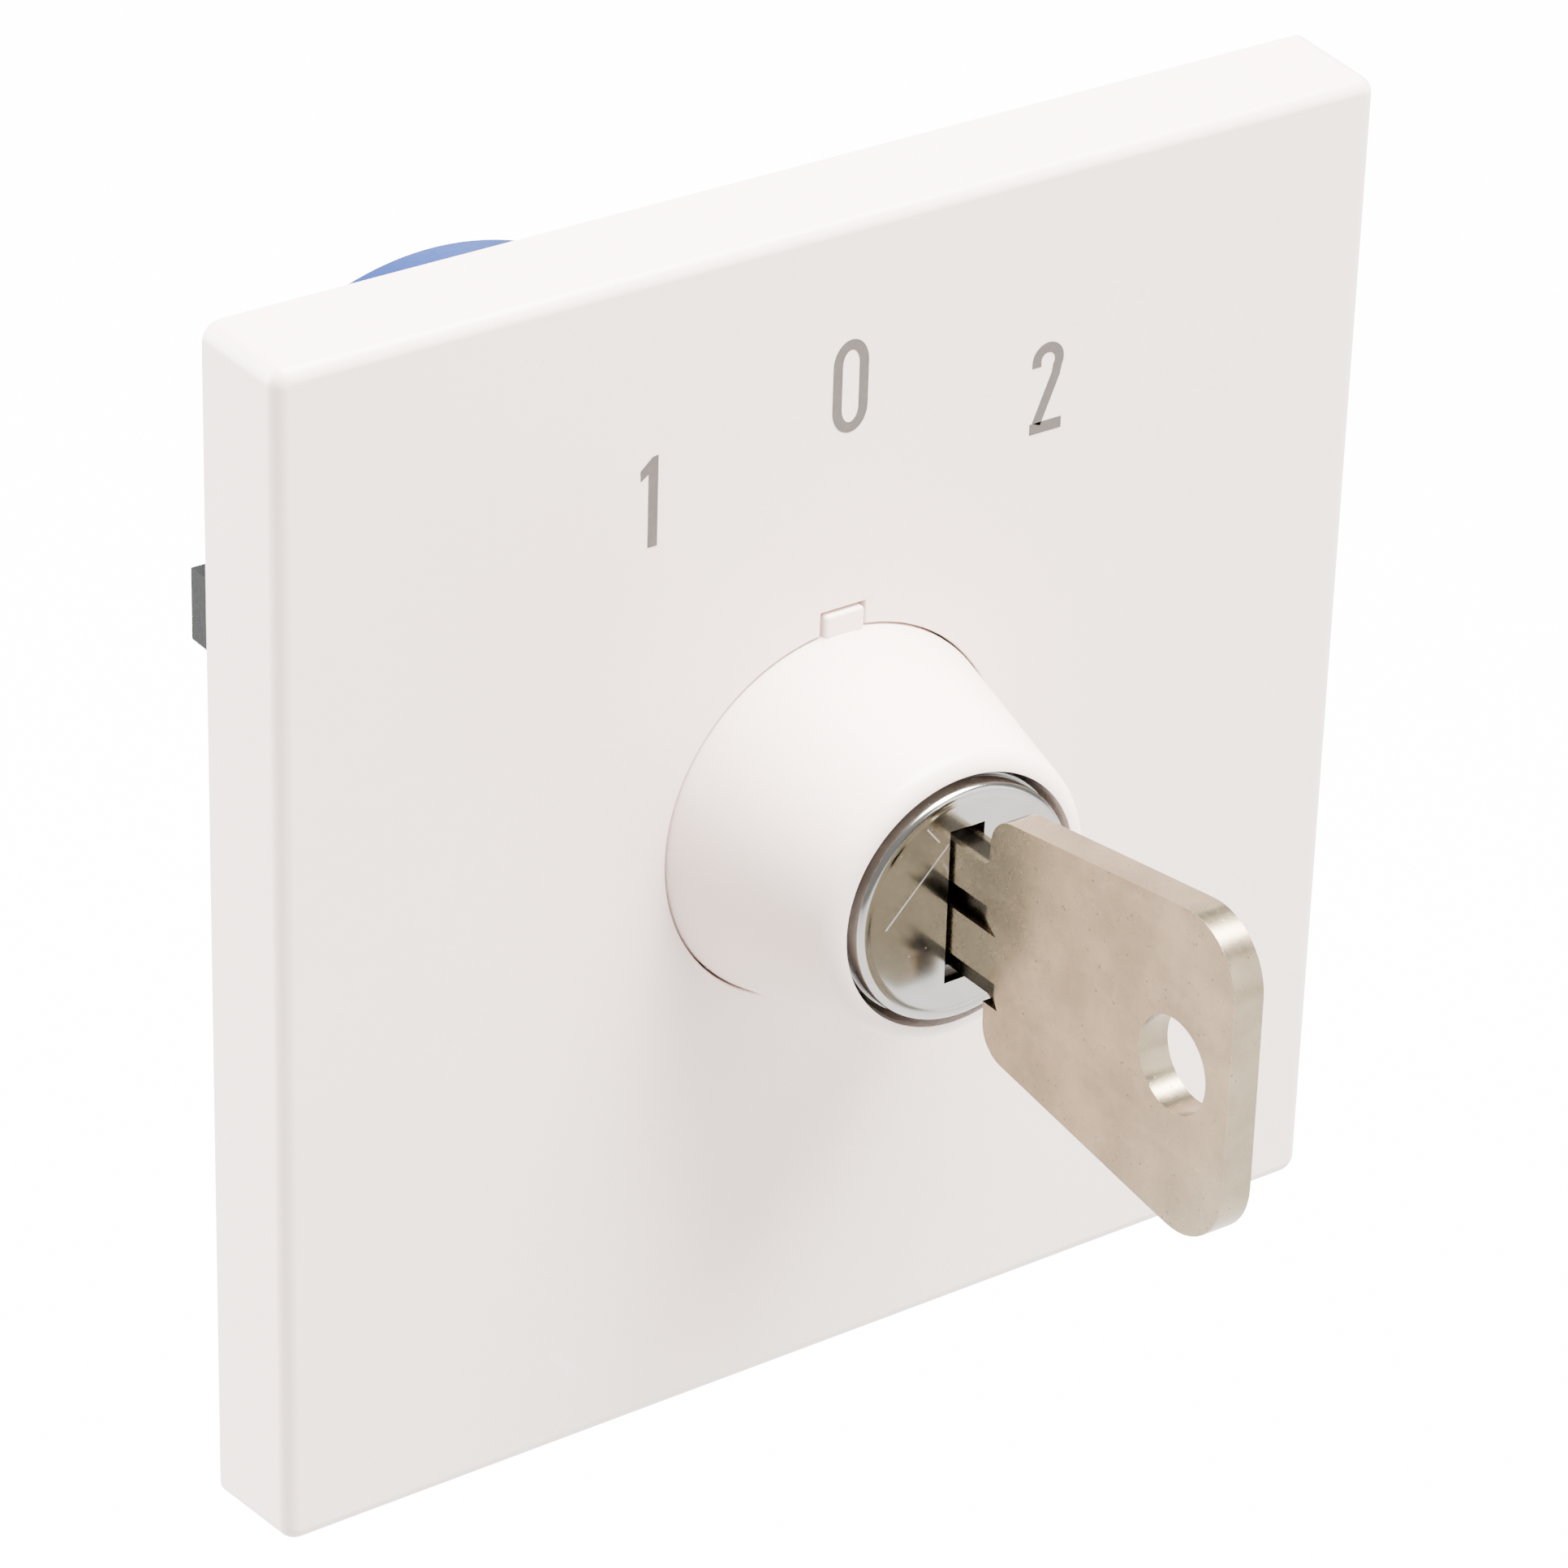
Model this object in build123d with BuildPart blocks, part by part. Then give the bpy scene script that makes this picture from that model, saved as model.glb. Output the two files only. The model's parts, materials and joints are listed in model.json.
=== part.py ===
"""Key-operated 1-0-2 selector switch for a flush wall box.

Every piece is drawn in one frame, in millimetres. X runs to the right as the user sees the plate, Z runs up
and Y runs into the wall. The origin is the centre of the wall box, on the wall's surface. Turned pieces and
plates are drawn on Plane.XZ, whose third direction is the height towards the user: heights above 0 stand in
front of the wall and heights below 0 lie inside the box.
"""
from math import atan, cos, degrees, pi, radians, sin
import os

from build123d import *

os.makedirs("parts", exist_ok=True)

STAND = (Align.CENTER, Align.CENTER, Align.MIN)  # a piece stands on the plane it is placed on

# ---------------------------------------------------------------- driving dimensions
# the two sizes the lock, its collar and the holes behind it are built round
barrel_radius = 8.0
plug_radius = 6.0

# cover plate
plate_size = 80.0
plate_depth = 7.3
plate_wall = 2.0
plate_draft = 0.35  # each side leans in by this much from the wall to the front
plate_edge_radius = 0.95
plate_corner_radius = 1.2
collar_gap = 0.15  # between the collar and its hole in the plate
peg_spread = 39.0  # between the centres of the snap pegs
peg_radius = 1.8
peg_barb = 0.35
peg_slit = 0.8
peg_slit_length = 5.4
peg_tail = 2.4
barb_length = 1.2

# conical collar round the lock
collar_base_radius = barrel_radius + 4.4
collar_rim_radius = barrel_radius + 1.5
collar_height = 13.0  # in front of the plate
collar_rim_round = 1.1
collar_bore_round = 0.15
collar_bore_radius = barrel_radius + 0.3
collar_flange_radius = 18.2
collar_flange_thickness = 2.0
tab_width = 2.9
tab_offset = 0.15
tab_reach = 13.8
tab_proud = 0.25
tab_root = 1.0
notch_gap = 0.2
collar_screw_spread = 30.4
collar_screw_radius = 1.4
collar_screw_head_radius = 2.5
collar_screw_head_height = 1.5
collar_screw_length = 8.5
recess_length = 3.4
recess_width = 0.7
recess_depth = 0.8

# lock
barrel_flange_radius = barrel_radius + 2.0
barrel_flange_thickness = 1.8
ring_nut_height = 2.2
spanner_slot_width = 2.0
spanner_slot_depth = 1.0
running_gap = 0.05
cap_radius = barrel_radius + 0.07
cap_thickness = 1.3
cap_rim = 0.45
cap_proud = 0.5  # the cap's face in front of the collar's rim
cap_back_gap = 0.2
keyway_width = 2.5
keyway_height = 9.6
cap_slot_height = 10.4
wafer_count = 5
first_wafer = 2.6  # from the barrel's front to the first wafer
wafer_pitch = 3.0
wafer_thickness = 1.0
wafer_width = plug_radius - 0.5
wafer_gap = 0.1
channel_gap = 0.2
channel_depth = 0.9
plug_tail = 3.0  # how far the plug reaches behind the wall's surface

# key
key_thickness = 2.1
blade_height = 9.1
blade_reach = 20.5  # of blade inside the lock, from the cap's face
bow_neck = 3.45  # from the cap's face to the bow's shoulder
bow_shoulder_height = 16.0
bow_length = 23.05
bow_end_height = 22.7
bow_corner_radius = 4.3
bow_shoulder_radius = 2.2
neck_radius = 0.5
key_hole_radius = 3.07
key_hole_from_end = 5.2
key_edge_chamfer = 0.22
groove_depth = 0.6
groove_width = 1.7
groove_runout = 5.1  # how far the grooves run out past the cap's face
groove_taper = 3.0
left_groove_height = 0.95  # from the key's middle line to each groove's
right_groove_height = -1.1
step_height = 1.5  # the milled step along the blade's lower edge
step_runout = 1.8
cutter_clear = 0.1
bitting = (0.8, 1.6, 0.4, 1.2, 0.8)
cut_width = 1.4

# support frame
frame_size = 71.0
frame_thickness = 1.2
frame_lip = 1.2
frame_corner_radius = 3.0
frame_bore_radius = barrel_radius + 1.0
box_screw_spacing = 60.0
box_slot_length = 6.5
box_slot_width = 3.9
frame_slot_spread = 40.0  # between the centres of the four spare slots, across and up
frame_slot_height = 52.0
spare_slot_length = 10.0
spare_slot_width = 3.0

# switch mechanism
housing_radius = 18.6
latch_depth = 12.5
latch_front_wall = 2.0
latch_cavity_radius = 13.0
latch_bore_radius = barrel_radius + 0.4
stage_depth = 11.5
stage_front_wall = 1.5
rear_cover_radius = 20.1
rear_cover_thickness = 3.0
wing_reach = 19.1
wing_flat = 5.2
wing_tongue = 1.7  # the rear housing's wings reach past the rear cover's front by this much
tie_bolt_spread = 31.0
tie_bolt_radius = 1.5
tie_head_radius = 2.7
tie_head_height = 1.8
nut_flats = 5.5
nut_height = 2.2
fastener_gap = 0.1

# shaft and indexing
shaft_width = 5.0
socket_gap = 0.05
journal_radius = 2.4
coupling_radius = 5.5
coupling_length = 3.5
tongue_width = 2.2
tongue_depth = 1.3
star_radius = 10.5
star_thickness = 3.0
star_notch_radius = 1.6
star_notch_centre = star_radius + 0.5
star_steps = 12
index_angle = 30.0
plunger_radius = 1.7
stop_thickness = 1.4
stop_hub_radius = 6.0
stop_lobe_reach = 10.8
stop_lobe_width = 5.0
stop_lug_width = 4.0
stop_lug_inner = 9.3
stop_margin = 2.0  # degrees left when the lobe is nearest a lug

# cams and contacts
cam_radius = 7.1
cam_travel = 1.0  # a contact's travel over one index step
cam_gap = 0.25
cam_room = 0.5
contact_gap = 0.1  # between the silver tips when a contact is closed
contact_strip = 0.8
contact_strip_width = 5.0
contact_strip_near = 9.9  # the fixed strips' inner faces, from the axis
contact_strip_foot = 4.2
contact_strip_end = 14.0
contact_spread = 5.7
tip_radius = 1.2
tip_thickness = 0.5
bridge_thickness = 0.8
bridge_length = 14.0
bridge_width = 3.0
slider_width = 3.0
slider_depth = 5.0
slider_nose_radius = 1.1
slider_nose = 1.5
spring_radius = 1.9
spring_wire = 0.2
terminal_height = 12.0
terminal_screw_radius = 1.1
terminal_head_radius = 1.9
terminal_head_height = 1.4
clamp_size = 4.2
clamp_thickness = 0.7

# ---------------------------------------------------------------- heights worked out from them
plate_front = plate_depth
rim = plate_front + collar_height
cap_face = rim + cap_proud
cap_back = cap_face - cap_thickness
barrel_front = cap_back - cap_back_gap
flange_front = frame_thickness + collar_flange_thickness
ring_nut_back = frame_thickness + 0.8
barrel_flange_back = ring_nut_back + ring_nut_height
barrel_flange_front = barrel_flange_back + barrel_flange_thickness
barrel_back = 0.2
blade_tip = cap_face - blade_reach
keyway_end = blade_tip - 0.4
latch_back = -latch_depth
front_stage_back = latch_back - stage_depth
rear_stage_back = front_stage_back - stage_depth
switch_back = rear_stage_back - rear_cover_thickness
counterbore_radius = barrel_flange_radius + 0.2
housing_screw_x = collar_screw_spread / 2
tie_bolt_z = tie_bolt_spread / 2

# contact positions across the switch, at the middle position
strip_face = contact_strip_near + contact_strip
fixed_tip_face = strip_face + tip_thickness
moving_tip_face = fixed_tip_face + contact_gap + cam_travel
bridge_inner = moving_tip_face + tip_thickness
bridge_outer = bridge_inner + bridge_thickness
chamber_reach = bridge_outer + cam_travel + 0.5
spring_seat = wing_reach - 1.1


def finish(piece, name):
    """Labels a finished piece and writes it to its own file."""
    piece.part.label = name
    export_step(piece.part, f"parts/{name}.step")


# ---------------------------------------------------------------- cover plate
with BuildPart(Plane.XZ) as cover_plate:
    with BuildSketch(Plane.XZ):
        RectangleRounded(plate_size, plate_size, plate_corner_radius)
    extrude(amount=plate_depth, taper=degrees(atan(plate_draft / plate_depth)))
    front_edges = cover_plate.faces().sort_by(Axis.Y)[0].edges()
    fillet(front_edges, radius=plate_edge_radius)
    with BuildSketch(Plane.XZ):
        RectangleRounded(plate_size - 2 * plate_wall, plate_size - 2 * plate_wall, plate_corner_radius / 2)
    extrude(amount=plate_depth - plate_wall, mode=Mode.SUBTRACT)
    # the collar's hole, with a notch at 12 o'clock for its locating tab
    with BuildSketch(Plane.XZ):
        Circle(collar_base_radius + collar_gap)
        with Locations((tab_offset, (tab_reach + notch_gap) / 2)):
            Rectangle(tab_width + 2 * notch_gap, tab_reach + notch_gap)
    extrude(amount=plate_depth, mode=Mode.SUBTRACT)
    # four split snap pegs that grip behind the support frame
    with GridLocations(peg_spread, peg_spread, 2, 2):
        with Locations((0, 0, -peg_tail)):
            Cylinder(peg_radius, peg_tail + plate_depth - plate_wall, align=STAND)
            Box(peg_slit, 2 * peg_radius + 2, peg_slit_length, align=STAND, mode=Mode.SUBTRACT)
        with Locations((0, 0, -barb_length - fastener_gap)):
            Cone(peg_radius, peg_radius + peg_barb, barb_length, align=STAND)
            Box(peg_slit, 2 * peg_radius + 2, barb_length, align=STAND, mode=Mode.SUBTRACT)
finish(cover_plate, "cover_plate")

# ---------------------------------------------------------------- conical collar
with BuildPart(Plane.XZ) as lock_collar:
    with BuildSketch(Plane.XY):
        with BuildLine():
            Polyline(
                (collar_bore_radius, -barrel_flange_front),
                (collar_bore_radius, -rim),
                (collar_rim_radius, -rim),
                (collar_base_radius, -plate_front),
                (collar_base_radius, -flange_front),
                (collar_flange_radius, -flange_front),
                (collar_flange_radius, -frame_thickness),
                (counterbore_radius, -frame_thickness),
                (counterbore_radius, -barrel_flange_front),
                close=True,
            )
        make_face()
    revolve(axis=Axis.Y)
    rim_edges = lock_collar.edges().filter_by(GeomType.CIRCLE).group_by(Axis.Y)[0]
    fillet(rim_edges.sort_by(SortBy.RADIUS)[-1], radius=collar_rim_round)
    rim_edges = lock_collar.edges().filter_by(GeomType.CIRCLE).group_by(Axis.Y)[0]
    fillet(rim_edges.sort_by(SortBy.RADIUS)[0], radius=collar_bore_round)
    # locating tab that keys the collar to the plate
    with Locations((tab_offset, (collar_base_radius - tab_root + tab_reach) / 2, frame_thickness)):
        Box(
            tab_width,
            tab_reach - collar_base_radius + tab_root,
            plate_front + tab_proud - frame_thickness,
            align=STAND,
        )
    with Locations((-housing_screw_x, 0, frame_thickness), (housing_screw_x, 0, frame_thickness)):
        Cylinder(
            collar_screw_radius + fastener_gap, collar_flange_thickness, align=STAND, mode=Mode.SUBTRACT
        )
finish(lock_collar, "lock_collar")

with BuildPart(Plane.XZ) as collar_screws:
    with Locations((-housing_screw_x, 0, flange_front), (housing_screw_x, 0, flange_front)):
        Cylinder(collar_screw_head_radius, collar_screw_head_height, align=STAND)
        with Locations((0, 0, -collar_screw_length)):
            Cylinder(collar_screw_radius, collar_screw_length, align=STAND)
        with Locations((0, 0, collar_screw_head_height - recess_depth)):
            Box(recess_length, recess_width, recess_depth, align=STAND, mode=Mode.SUBTRACT)
            Box(recess_width, recess_length, recess_depth, align=STAND, mode=Mode.SUBTRACT)
finish(collar_screws, "collar_screws")

# ---------------------------------------------------------------- lock barrel and its ring nut
wafer_heights = [barrel_front - first_wafer - wafer_pitch * i for i in range(wafer_count)]
wafer_slot = wafer_thickness + 2 * wafer_gap

with BuildPart(Plane.XZ) as lock_barrel:
    with Locations((0, 0, barrel_back)):
        Cylinder(barrel_radius, barrel_front - barrel_back, align=STAND)
    with Locations((0, 0, barrel_flange_back)):
        Cylinder(barrel_flange_radius, barrel_flange_thickness, align=STAND)
    # two channels where the wafers stand when the key is out
    with Locations((0, 0, wafer_heights[-1] - wafer_slot)):
        Box(
            wafer_width + 2 * channel_gap,
            2 * (plug_radius + channel_depth),
            wafer_heights[0] - wafer_heights[-1] + 2 * wafer_slot,
            align=STAND,
            mode=Mode.SUBTRACT,
        )
    with Locations((0, 0, barrel_back)):
        Cylinder(
            plug_radius + running_gap, barrel_front - barrel_back, align=STAND, mode=Mode.SUBTRACT
        )
finish(lock_barrel, "lock_barrel")

with BuildPart(Plane.XZ) as barrel_ring_nut:
    with Locations((0, 0, ring_nut_back)):
        Cylinder(counterbore_radius - fastener_gap, ring_nut_height, align=STAND)
        Cylinder(barrel_radius + fastener_gap, ring_nut_height, align=STAND, mode=Mode.SUBTRACT)
        # two spanner slots across the back
        Box(spanner_slot_width, 2 * counterbore_radius, spanner_slot_depth, align=STAND, mode=Mode.SUBTRACT)
finish(barrel_ring_nut, "barrel_ring_nut")

# ---------------------------------------------------------------- plug and what turns with it in the lock
clip_front = barrel_back - 0.2
clip_thickness = 0.8
clip_groove_radius = plug_radius - 0.8
clip_mouth = 5.0
spring_pocket_reach = plug_radius - 1.1
spring_pocket_height = plug_radius * 8 / 15
dish_depth = 0.12

with BuildPart(Plane.XZ) as lock_plug:
    with Locations((0, 0, -plug_tail)):
        Cylinder(plug_radius, cap_back + plug_tail, align=STAND)
    # groove for the clip that keeps the plug in the barrel
    with BuildSketch(Plane.XZ.offset(clip_front - clip_thickness - socket_gap)):
        Circle(plug_radius + 1)
        Circle(clip_groove_radius, mode=Mode.SUBTRACT)
    extrude(amount=clip_thickness + 2 * socket_gap, mode=Mode.SUBTRACT)
    with Locations((0, 0, keyway_end)):
        Box(keyway_width, keyway_height, cap_face - keyway_end, align=STAND, mode=Mode.SUBTRACT)
    for height in wafer_heights:
        with Locations((0, 0, height - wafer_slot / 2)):
            Box(wafer_width + 0.2, 2 * plug_radius, wafer_slot, align=STAND, mode=Mode.SUBTRACT)
        with Locations((spring_pocket_reach / 2, 0, height - wafer_slot / 2)):
            Box(spring_pocket_reach, 2 * spring_pocket_height, wafer_slot, align=STAND, mode=Mode.SUBTRACT)
    # slot across the back that drives the coupling
    with Locations((0, 0, -plug_tail)):
        Box(
            2 * plug_radius,
            tongue_width + 2 * socket_gap,
            tongue_depth + 2 * socket_gap,
            align=STAND,
            mode=Mode.SUBTRACT,
        )
finish(lock_plug, "lock_plug")

with BuildPart(Plane.XZ) as plug_face_cap:
    with Locations((0, 0, cap_back)):
        Cylinder(cap_radius, cap_thickness, align=STAND)
    face_edge = plug_face_cap.edges().filter_by(GeomType.CIRCLE).sort_by(Axis.Y)[0]
    fillet(face_edge, radius=cap_rim)
    with Locations((0, 0, cap_back)):
        Box(keyway_width, cap_slot_height, cap_thickness, align=STAND, mode=Mode.SUBTRACT)
    # shallow dished face inside the rolled rim
    with BuildSketch(Plane.XZ.offset(cap_face - dish_depth)):
        Circle(cap_radius - 2 * cap_rim)
    extrude(amount=2 * dish_depth, mode=Mode.SUBTRACT)
finish(plug_face_cap, "plug_face_cap")

lug_width = plug_radius / 4
lug_height = 0.8
lug_top = -spring_pocket_height + 0.1 + lug_height
wafer_spring_x = plug_radius * 5 / 8
wafer_spring_radius = 0.36
wafer_spring_pitch = 0.95
wafer_spring_wire = 0.09
wafer_spring_ends = 0.15

with BuildPart(Plane.XZ) as wafers:
    for height in wafer_heights:
        with BuildSketch(Plane.XZ.offset(height - wafer_thickness / 2)):
            Circle(plug_radius - 0.1)
            Rectangle(wafer_width, 3 * plug_radius, mode=Mode.INTERSECT)
            with Locations((wafer_width / 2 + lug_width / 2, lug_top - lug_height / 2)):
                Rectangle(lug_width + 0.2, lug_height)
            Rectangle(keyway_width + 0.2, keyway_height, mode=Mode.SUBTRACT)
        extrude(amount=wafer_thickness)
finish(wafers, "wafers")

with BuildPart() as wafer_springs:
    for height in wafer_heights:
        with BuildLine(mode=Mode.PRIVATE) as coil:
            Helix(
                pitch=wafer_spring_pitch,
                height=spring_pocket_height - lug_top - 2 * wafer_spring_ends,
                radius=wafer_spring_radius,
                center=(wafer_spring_x, -height, lug_top + wafer_spring_ends),
                direction=(0, 0, 1),
            )
        with BuildSketch(Plane(origin=coil.line @ 0, z_dir=coil.line % 0), mode=Mode.PRIVATE) as wire:
            Circle(wafer_spring_wire)
        sweep(wire.sketch, path=coil.line, is_frenet=True)
finish(wafer_springs, "wafer_springs")

with BuildPart(Plane.XZ) as plug_clip:
    with BuildSketch(Plane.XZ.offset(clip_front - clip_thickness)):
        Circle(plug_radius + 1)
        Circle(clip_groove_radius + socket_gap, mode=Mode.SUBTRACT)
        with Locations((0, -plug_radius)):
            Rectangle(clip_mouth, plug_radius * 1.2, mode=Mode.SUBTRACT)
    extrude(amount=clip_thickness)
finish(plug_clip, "plug_clip")

# ---------------------------------------------------------------- key
shoulder = cap_face + bow_neck
bow_end = shoulder + bow_length
groove_end = cap_face + groove_runout

with BuildPart() as key:
    with BuildSketch(Plane.YZ.offset(-key_thickness / 2)) as key_outline:
        with BuildLine():
            Polyline(
                (-blade_tip, 0),
                (-blade_tip - 1.6, blade_height / 2),
                (-shoulder, blade_height / 2),
                (-shoulder, bow_shoulder_height / 2),
                (-bow_end, bow_end_height / 2),
                (-bow_end, 0),
            )
            mirror(about=Plane.XZ)
        make_face()
        # across the sketch, X runs towards the blade's tip and Y runs up
        far_corners = key_outline.vertices().group_by(Axis.X)[0]
        fillet(far_corners.filter_by(lambda v: abs(v.Y) > 1), radius=bow_corner_radius)
        neck_corners = key_outline.vertices().filter_by(lambda v: abs(v.X + shoulder) < 0.01)
        fillet(neck_corners.filter_by(lambda v: abs(v.Y) > blade_height / 2 + 1), radius=bow_shoulder_radius)
        neck_corners = key_outline.vertices().filter_by(lambda v: abs(v.X + shoulder) < 0.01)
        fillet(neck_corners.filter_by(lambda v: abs(v.Y) < blade_height / 2 + 0.1), radius=neck_radius)
        with Locations((-(bow_end - key_hole_from_end), 0)):
            Circle(key_hole_radius, mode=Mode.SUBTRACT)
        # one cut in the upper edge for each wafer
        for height, cut in zip(wafer_heights, bitting):
            with Locations((-height, blade_height / 2)):
                Rectangle(cut_width, 2 * cut, mode=Mode.SUBTRACT)
    extrude(amount=key_thickness)
    bow_edges = key.edges().filter_by(lambda e: abs(abs(e.center().X) - key_thickness / 2) < 0.001)
    bow_edges = bow_edges.filter_by(lambda e: e.center().Y < -shoulder - 0.01)
    chamfer(bow_edges, length=key_edge_chamfer)
    # milled warding grooves, one on each face, and the step along the lower edge
    for side, height in ((-1, left_groove_height), (1, right_groove_height)):
        with BuildSketch(Plane.XY.offset(height - groove_width / 2)):
            with BuildLine():
                Polyline(
                    (side * (key_thickness / 2 - groove_depth), -blade_tip + 1),
                    (side * (key_thickness / 2 - groove_depth), -groove_end + groove_taper),
                    (side * (key_thickness / 2 + cutter_clear), -groove_end),
                    (side * (key_thickness / 2 + cutter_clear), -blade_tip + 1),
                    close=True,
                )
            make_face()
        extrude(amount=groove_width, mode=Mode.SUBTRACT)
    with BuildSketch(Plane.XY.offset(-blade_height / 2 - cutter_clear)):
        with BuildLine():
            Polyline(
                (-key_thickness / 2 + groove_depth, -blade_tip + 1),
                (-key_thickness / 2 + groove_depth, -shoulder),
                (-key_thickness / 2 - cutter_clear, -shoulder - step_runout),
                (-key_thickness / 2 - cutter_clear, -blade_tip + 1),
                close=True,
            )
        make_face()
    extrude(amount=step_height + cutter_clear, mode=Mode.SUBTRACT)
finish(key, "key")

# ---------------------------------------------------------------- coupling and shaft
coupling_front = -plug_tail
coupling_back = coupling_front - coupling_length
socket_depth = 2.5

with BuildPart(Plane.XZ) as drive_coupling:
    with Locations((0, 0, coupling_back)):
        Cylinder(coupling_radius, coupling_length, align=STAND)
        Box(
            shaft_width + 2 * socket_gap,
            shaft_width + 2 * socket_gap,
            socket_depth,
            align=STAND,
            mode=Mode.SUBTRACT,
        )
    with Locations((0, 0, coupling_front)):
        Box(2 * coupling_radius - 1.0, tongue_width, tongue_depth, align=STAND)
finish(drive_coupling, "drive_coupling")

shaft_front = coupling_back + socket_depth - 0.1
shaft_shoulder = rear_stage_back + 0.5
journal_set_back = 0.3

with BuildPart(Plane.XZ) as switch_shaft:
    with Locations((0, 0, shaft_shoulder)):
        Box(shaft_width, shaft_width, shaft_front - shaft_shoulder, align=STAND)
    with Locations((0, 0, switch_back + journal_set_back)):
        Cylinder(journal_radius, shaft_shoulder - switch_back - journal_set_back, align=STAND)
finish(switch_shaft, "switch_shaft")

# ---------------------------------------------------------------- support frame
with BuildPart(Plane.XZ) as support_frame:
    with BuildSketch(Plane.XZ):
        RectangleRounded(frame_size, frame_size, frame_corner_radius)
    extrude(amount=frame_thickness + frame_lip)
    with BuildSketch(Plane.XZ.offset(frame_thickness)):
        RectangleRounded(
            frame_size - 2 * frame_lip, frame_size - 2 * frame_lip, frame_corner_radius - frame_lip
        )
    extrude(amount=frame_lip, mode=Mode.SUBTRACT)
    with BuildSketch(Plane.XZ):
        Circle(frame_bore_radius)
        with Locations((-housing_screw_x, 0), (housing_screw_x, 0)):
            Circle(collar_screw_radius + fastener_gap)
        with Locations((-box_screw_spacing / 2, 0), (box_screw_spacing / 2, 0)):
            SlotOverall(box_slot_length, box_slot_width)
        with Locations((0, -box_screw_spacing / 2), (0, box_screw_spacing / 2)):
            SlotOverall(box_slot_length, box_slot_width, rotation=90)
        with GridLocations(peg_spread, peg_spread, 2, 2):
            Circle(peg_radius + fastener_gap)
        with GridLocations(frame_slot_spread, frame_slot_height, 2, 2):
            SlotOverall(spare_slot_length, spare_slot_width)
    extrude(amount=frame_thickness, mode=Mode.SUBTRACT)
finish(support_frame, "support_frame")

# ---------------------------------------------------------------- latch housing
star_back = latch_back + 0.9
star_front = star_back + star_thickness
stop_back = star_front + 0.4
plunger_height = (star_back + star_front) / 2
plunger_tip = star_radius + 0.3
plunger_back = 14.0
plunger_bore_end = 17.4
stop_swing = index_angle + stop_margin
stop_mean = (stop_lug_inner + stop_lobe_reach) / 2
lug_angle = stop_swing + degrees((stop_lobe_width + stop_lug_width) / 2 / stop_mean)


def diagonal_plane(distance, turn):
    """A plane across the line from the axis at a turn in degrees from +X, at a distance along it."""
    return Plane(
        origin=(distance * cos(radians(turn)), -plunger_height, distance * sin(radians(turn))),
        x_dir=(0, -1, 0),
        z_dir=(cos(radians(turn)), 0, sin(radians(turn))),
    )


plunger_turns = (45.0, 225.0)
detent_spring_pitch = 0.72
detent_spring_radius = 1.3
detent_spring_wire = 0.18
detent_spring_ends = 0.25

with BuildPart(Plane.XZ) as latch_housing:
    with Locations((0, 0, latch_back)):
        Cylinder(housing_radius, latch_depth, align=STAND)
        Cylinder(latch_cavity_radius, latch_depth - latch_front_wall, align=STAND, mode=Mode.SUBTRACT)
        Cylinder(latch_bore_radius, latch_depth, align=STAND, mode=Mode.SUBTRACT)
    # two lugs that stop the shaft one step either side of the middle
    with Locations((0, 0, stop_back - 0.2)):
        with PolarLocations((stop_lug_inner + latch_cavity_radius + 1) / 2, 1, -90 - lug_angle):
            Box(latch_cavity_radius + 1 - stop_lug_inner, stop_lug_width, -stop_back, align=STAND)
        with PolarLocations((stop_lug_inner + latch_cavity_radius + 1) / 2, 1, -90 + lug_angle):
            Box(latch_cavity_radius + 1 - stop_lug_inner, stop_lug_width, -stop_back, align=STAND)
    for turn in plunger_turns:
        with BuildSketch(diagonal_plane(latch_cavity_radius - 1, turn)):
            Circle(plunger_radius + 0.1)
        extrude(amount=plunger_bore_end - latch_cavity_radius + 1, mode=Mode.SUBTRACT)
    with Locations((-housing_screw_x, 0, -collar_screw_length), (housing_screw_x, 0, -collar_screw_length)):
        Cylinder(collar_screw_radius + 0.03, collar_screw_length, align=STAND, mode=Mode.SUBTRACT)
    with BuildSketch(Plane.XZ.offset(latch_back)):
        with Locations((0, -tie_bolt_z), (0, tie_bolt_z)):
            Circle(tie_bolt_radius + fastener_gap)
    extrude(amount=latch_depth, mode=Mode.SUBTRACT)
    with BuildSketch(Plane.XZ.offset(-nut_height - 0.2)):
        with Locations((0, -tie_bolt_z), (0, tie_bolt_z)):
            RegularPolygon(nut_flats / 2 + fastener_gap, 6, major_radius=False)
    extrude(amount=nut_height + 0.2, mode=Mode.SUBTRACT)
finish(latch_housing, "latch_housing")

with BuildPart(Plane.XZ) as tie_nuts:
    with BuildSketch(Plane.XZ.offset(-nut_height - 0.1)):
        with Locations((0, -tie_bolt_z), (0, tie_bolt_z)):
            RegularPolygon(nut_flats / 2, 6, major_radius=False)
            Circle(tie_bolt_radius, mode=Mode.SUBTRACT)
    extrude(amount=nut_height)
finish(tie_nuts, "tie_nuts")

# ---------------------------------------------------------------- indexing pieces
with BuildPart(Plane.XZ) as star_wheel:
    with BuildSketch(Plane.XZ.offset(star_back)):
        Circle(star_radius)
        with PolarLocations(star_notch_centre, star_steps, 180 / star_steps):
            Circle(star_notch_radius, mode=Mode.SUBTRACT)
        Rectangle(shaft_width + 2 * socket_gap, shaft_width + 2 * socket_gap, mode=Mode.SUBTRACT)
    extrude(amount=star_thickness)
finish(star_wheel, "star_wheel")

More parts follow.
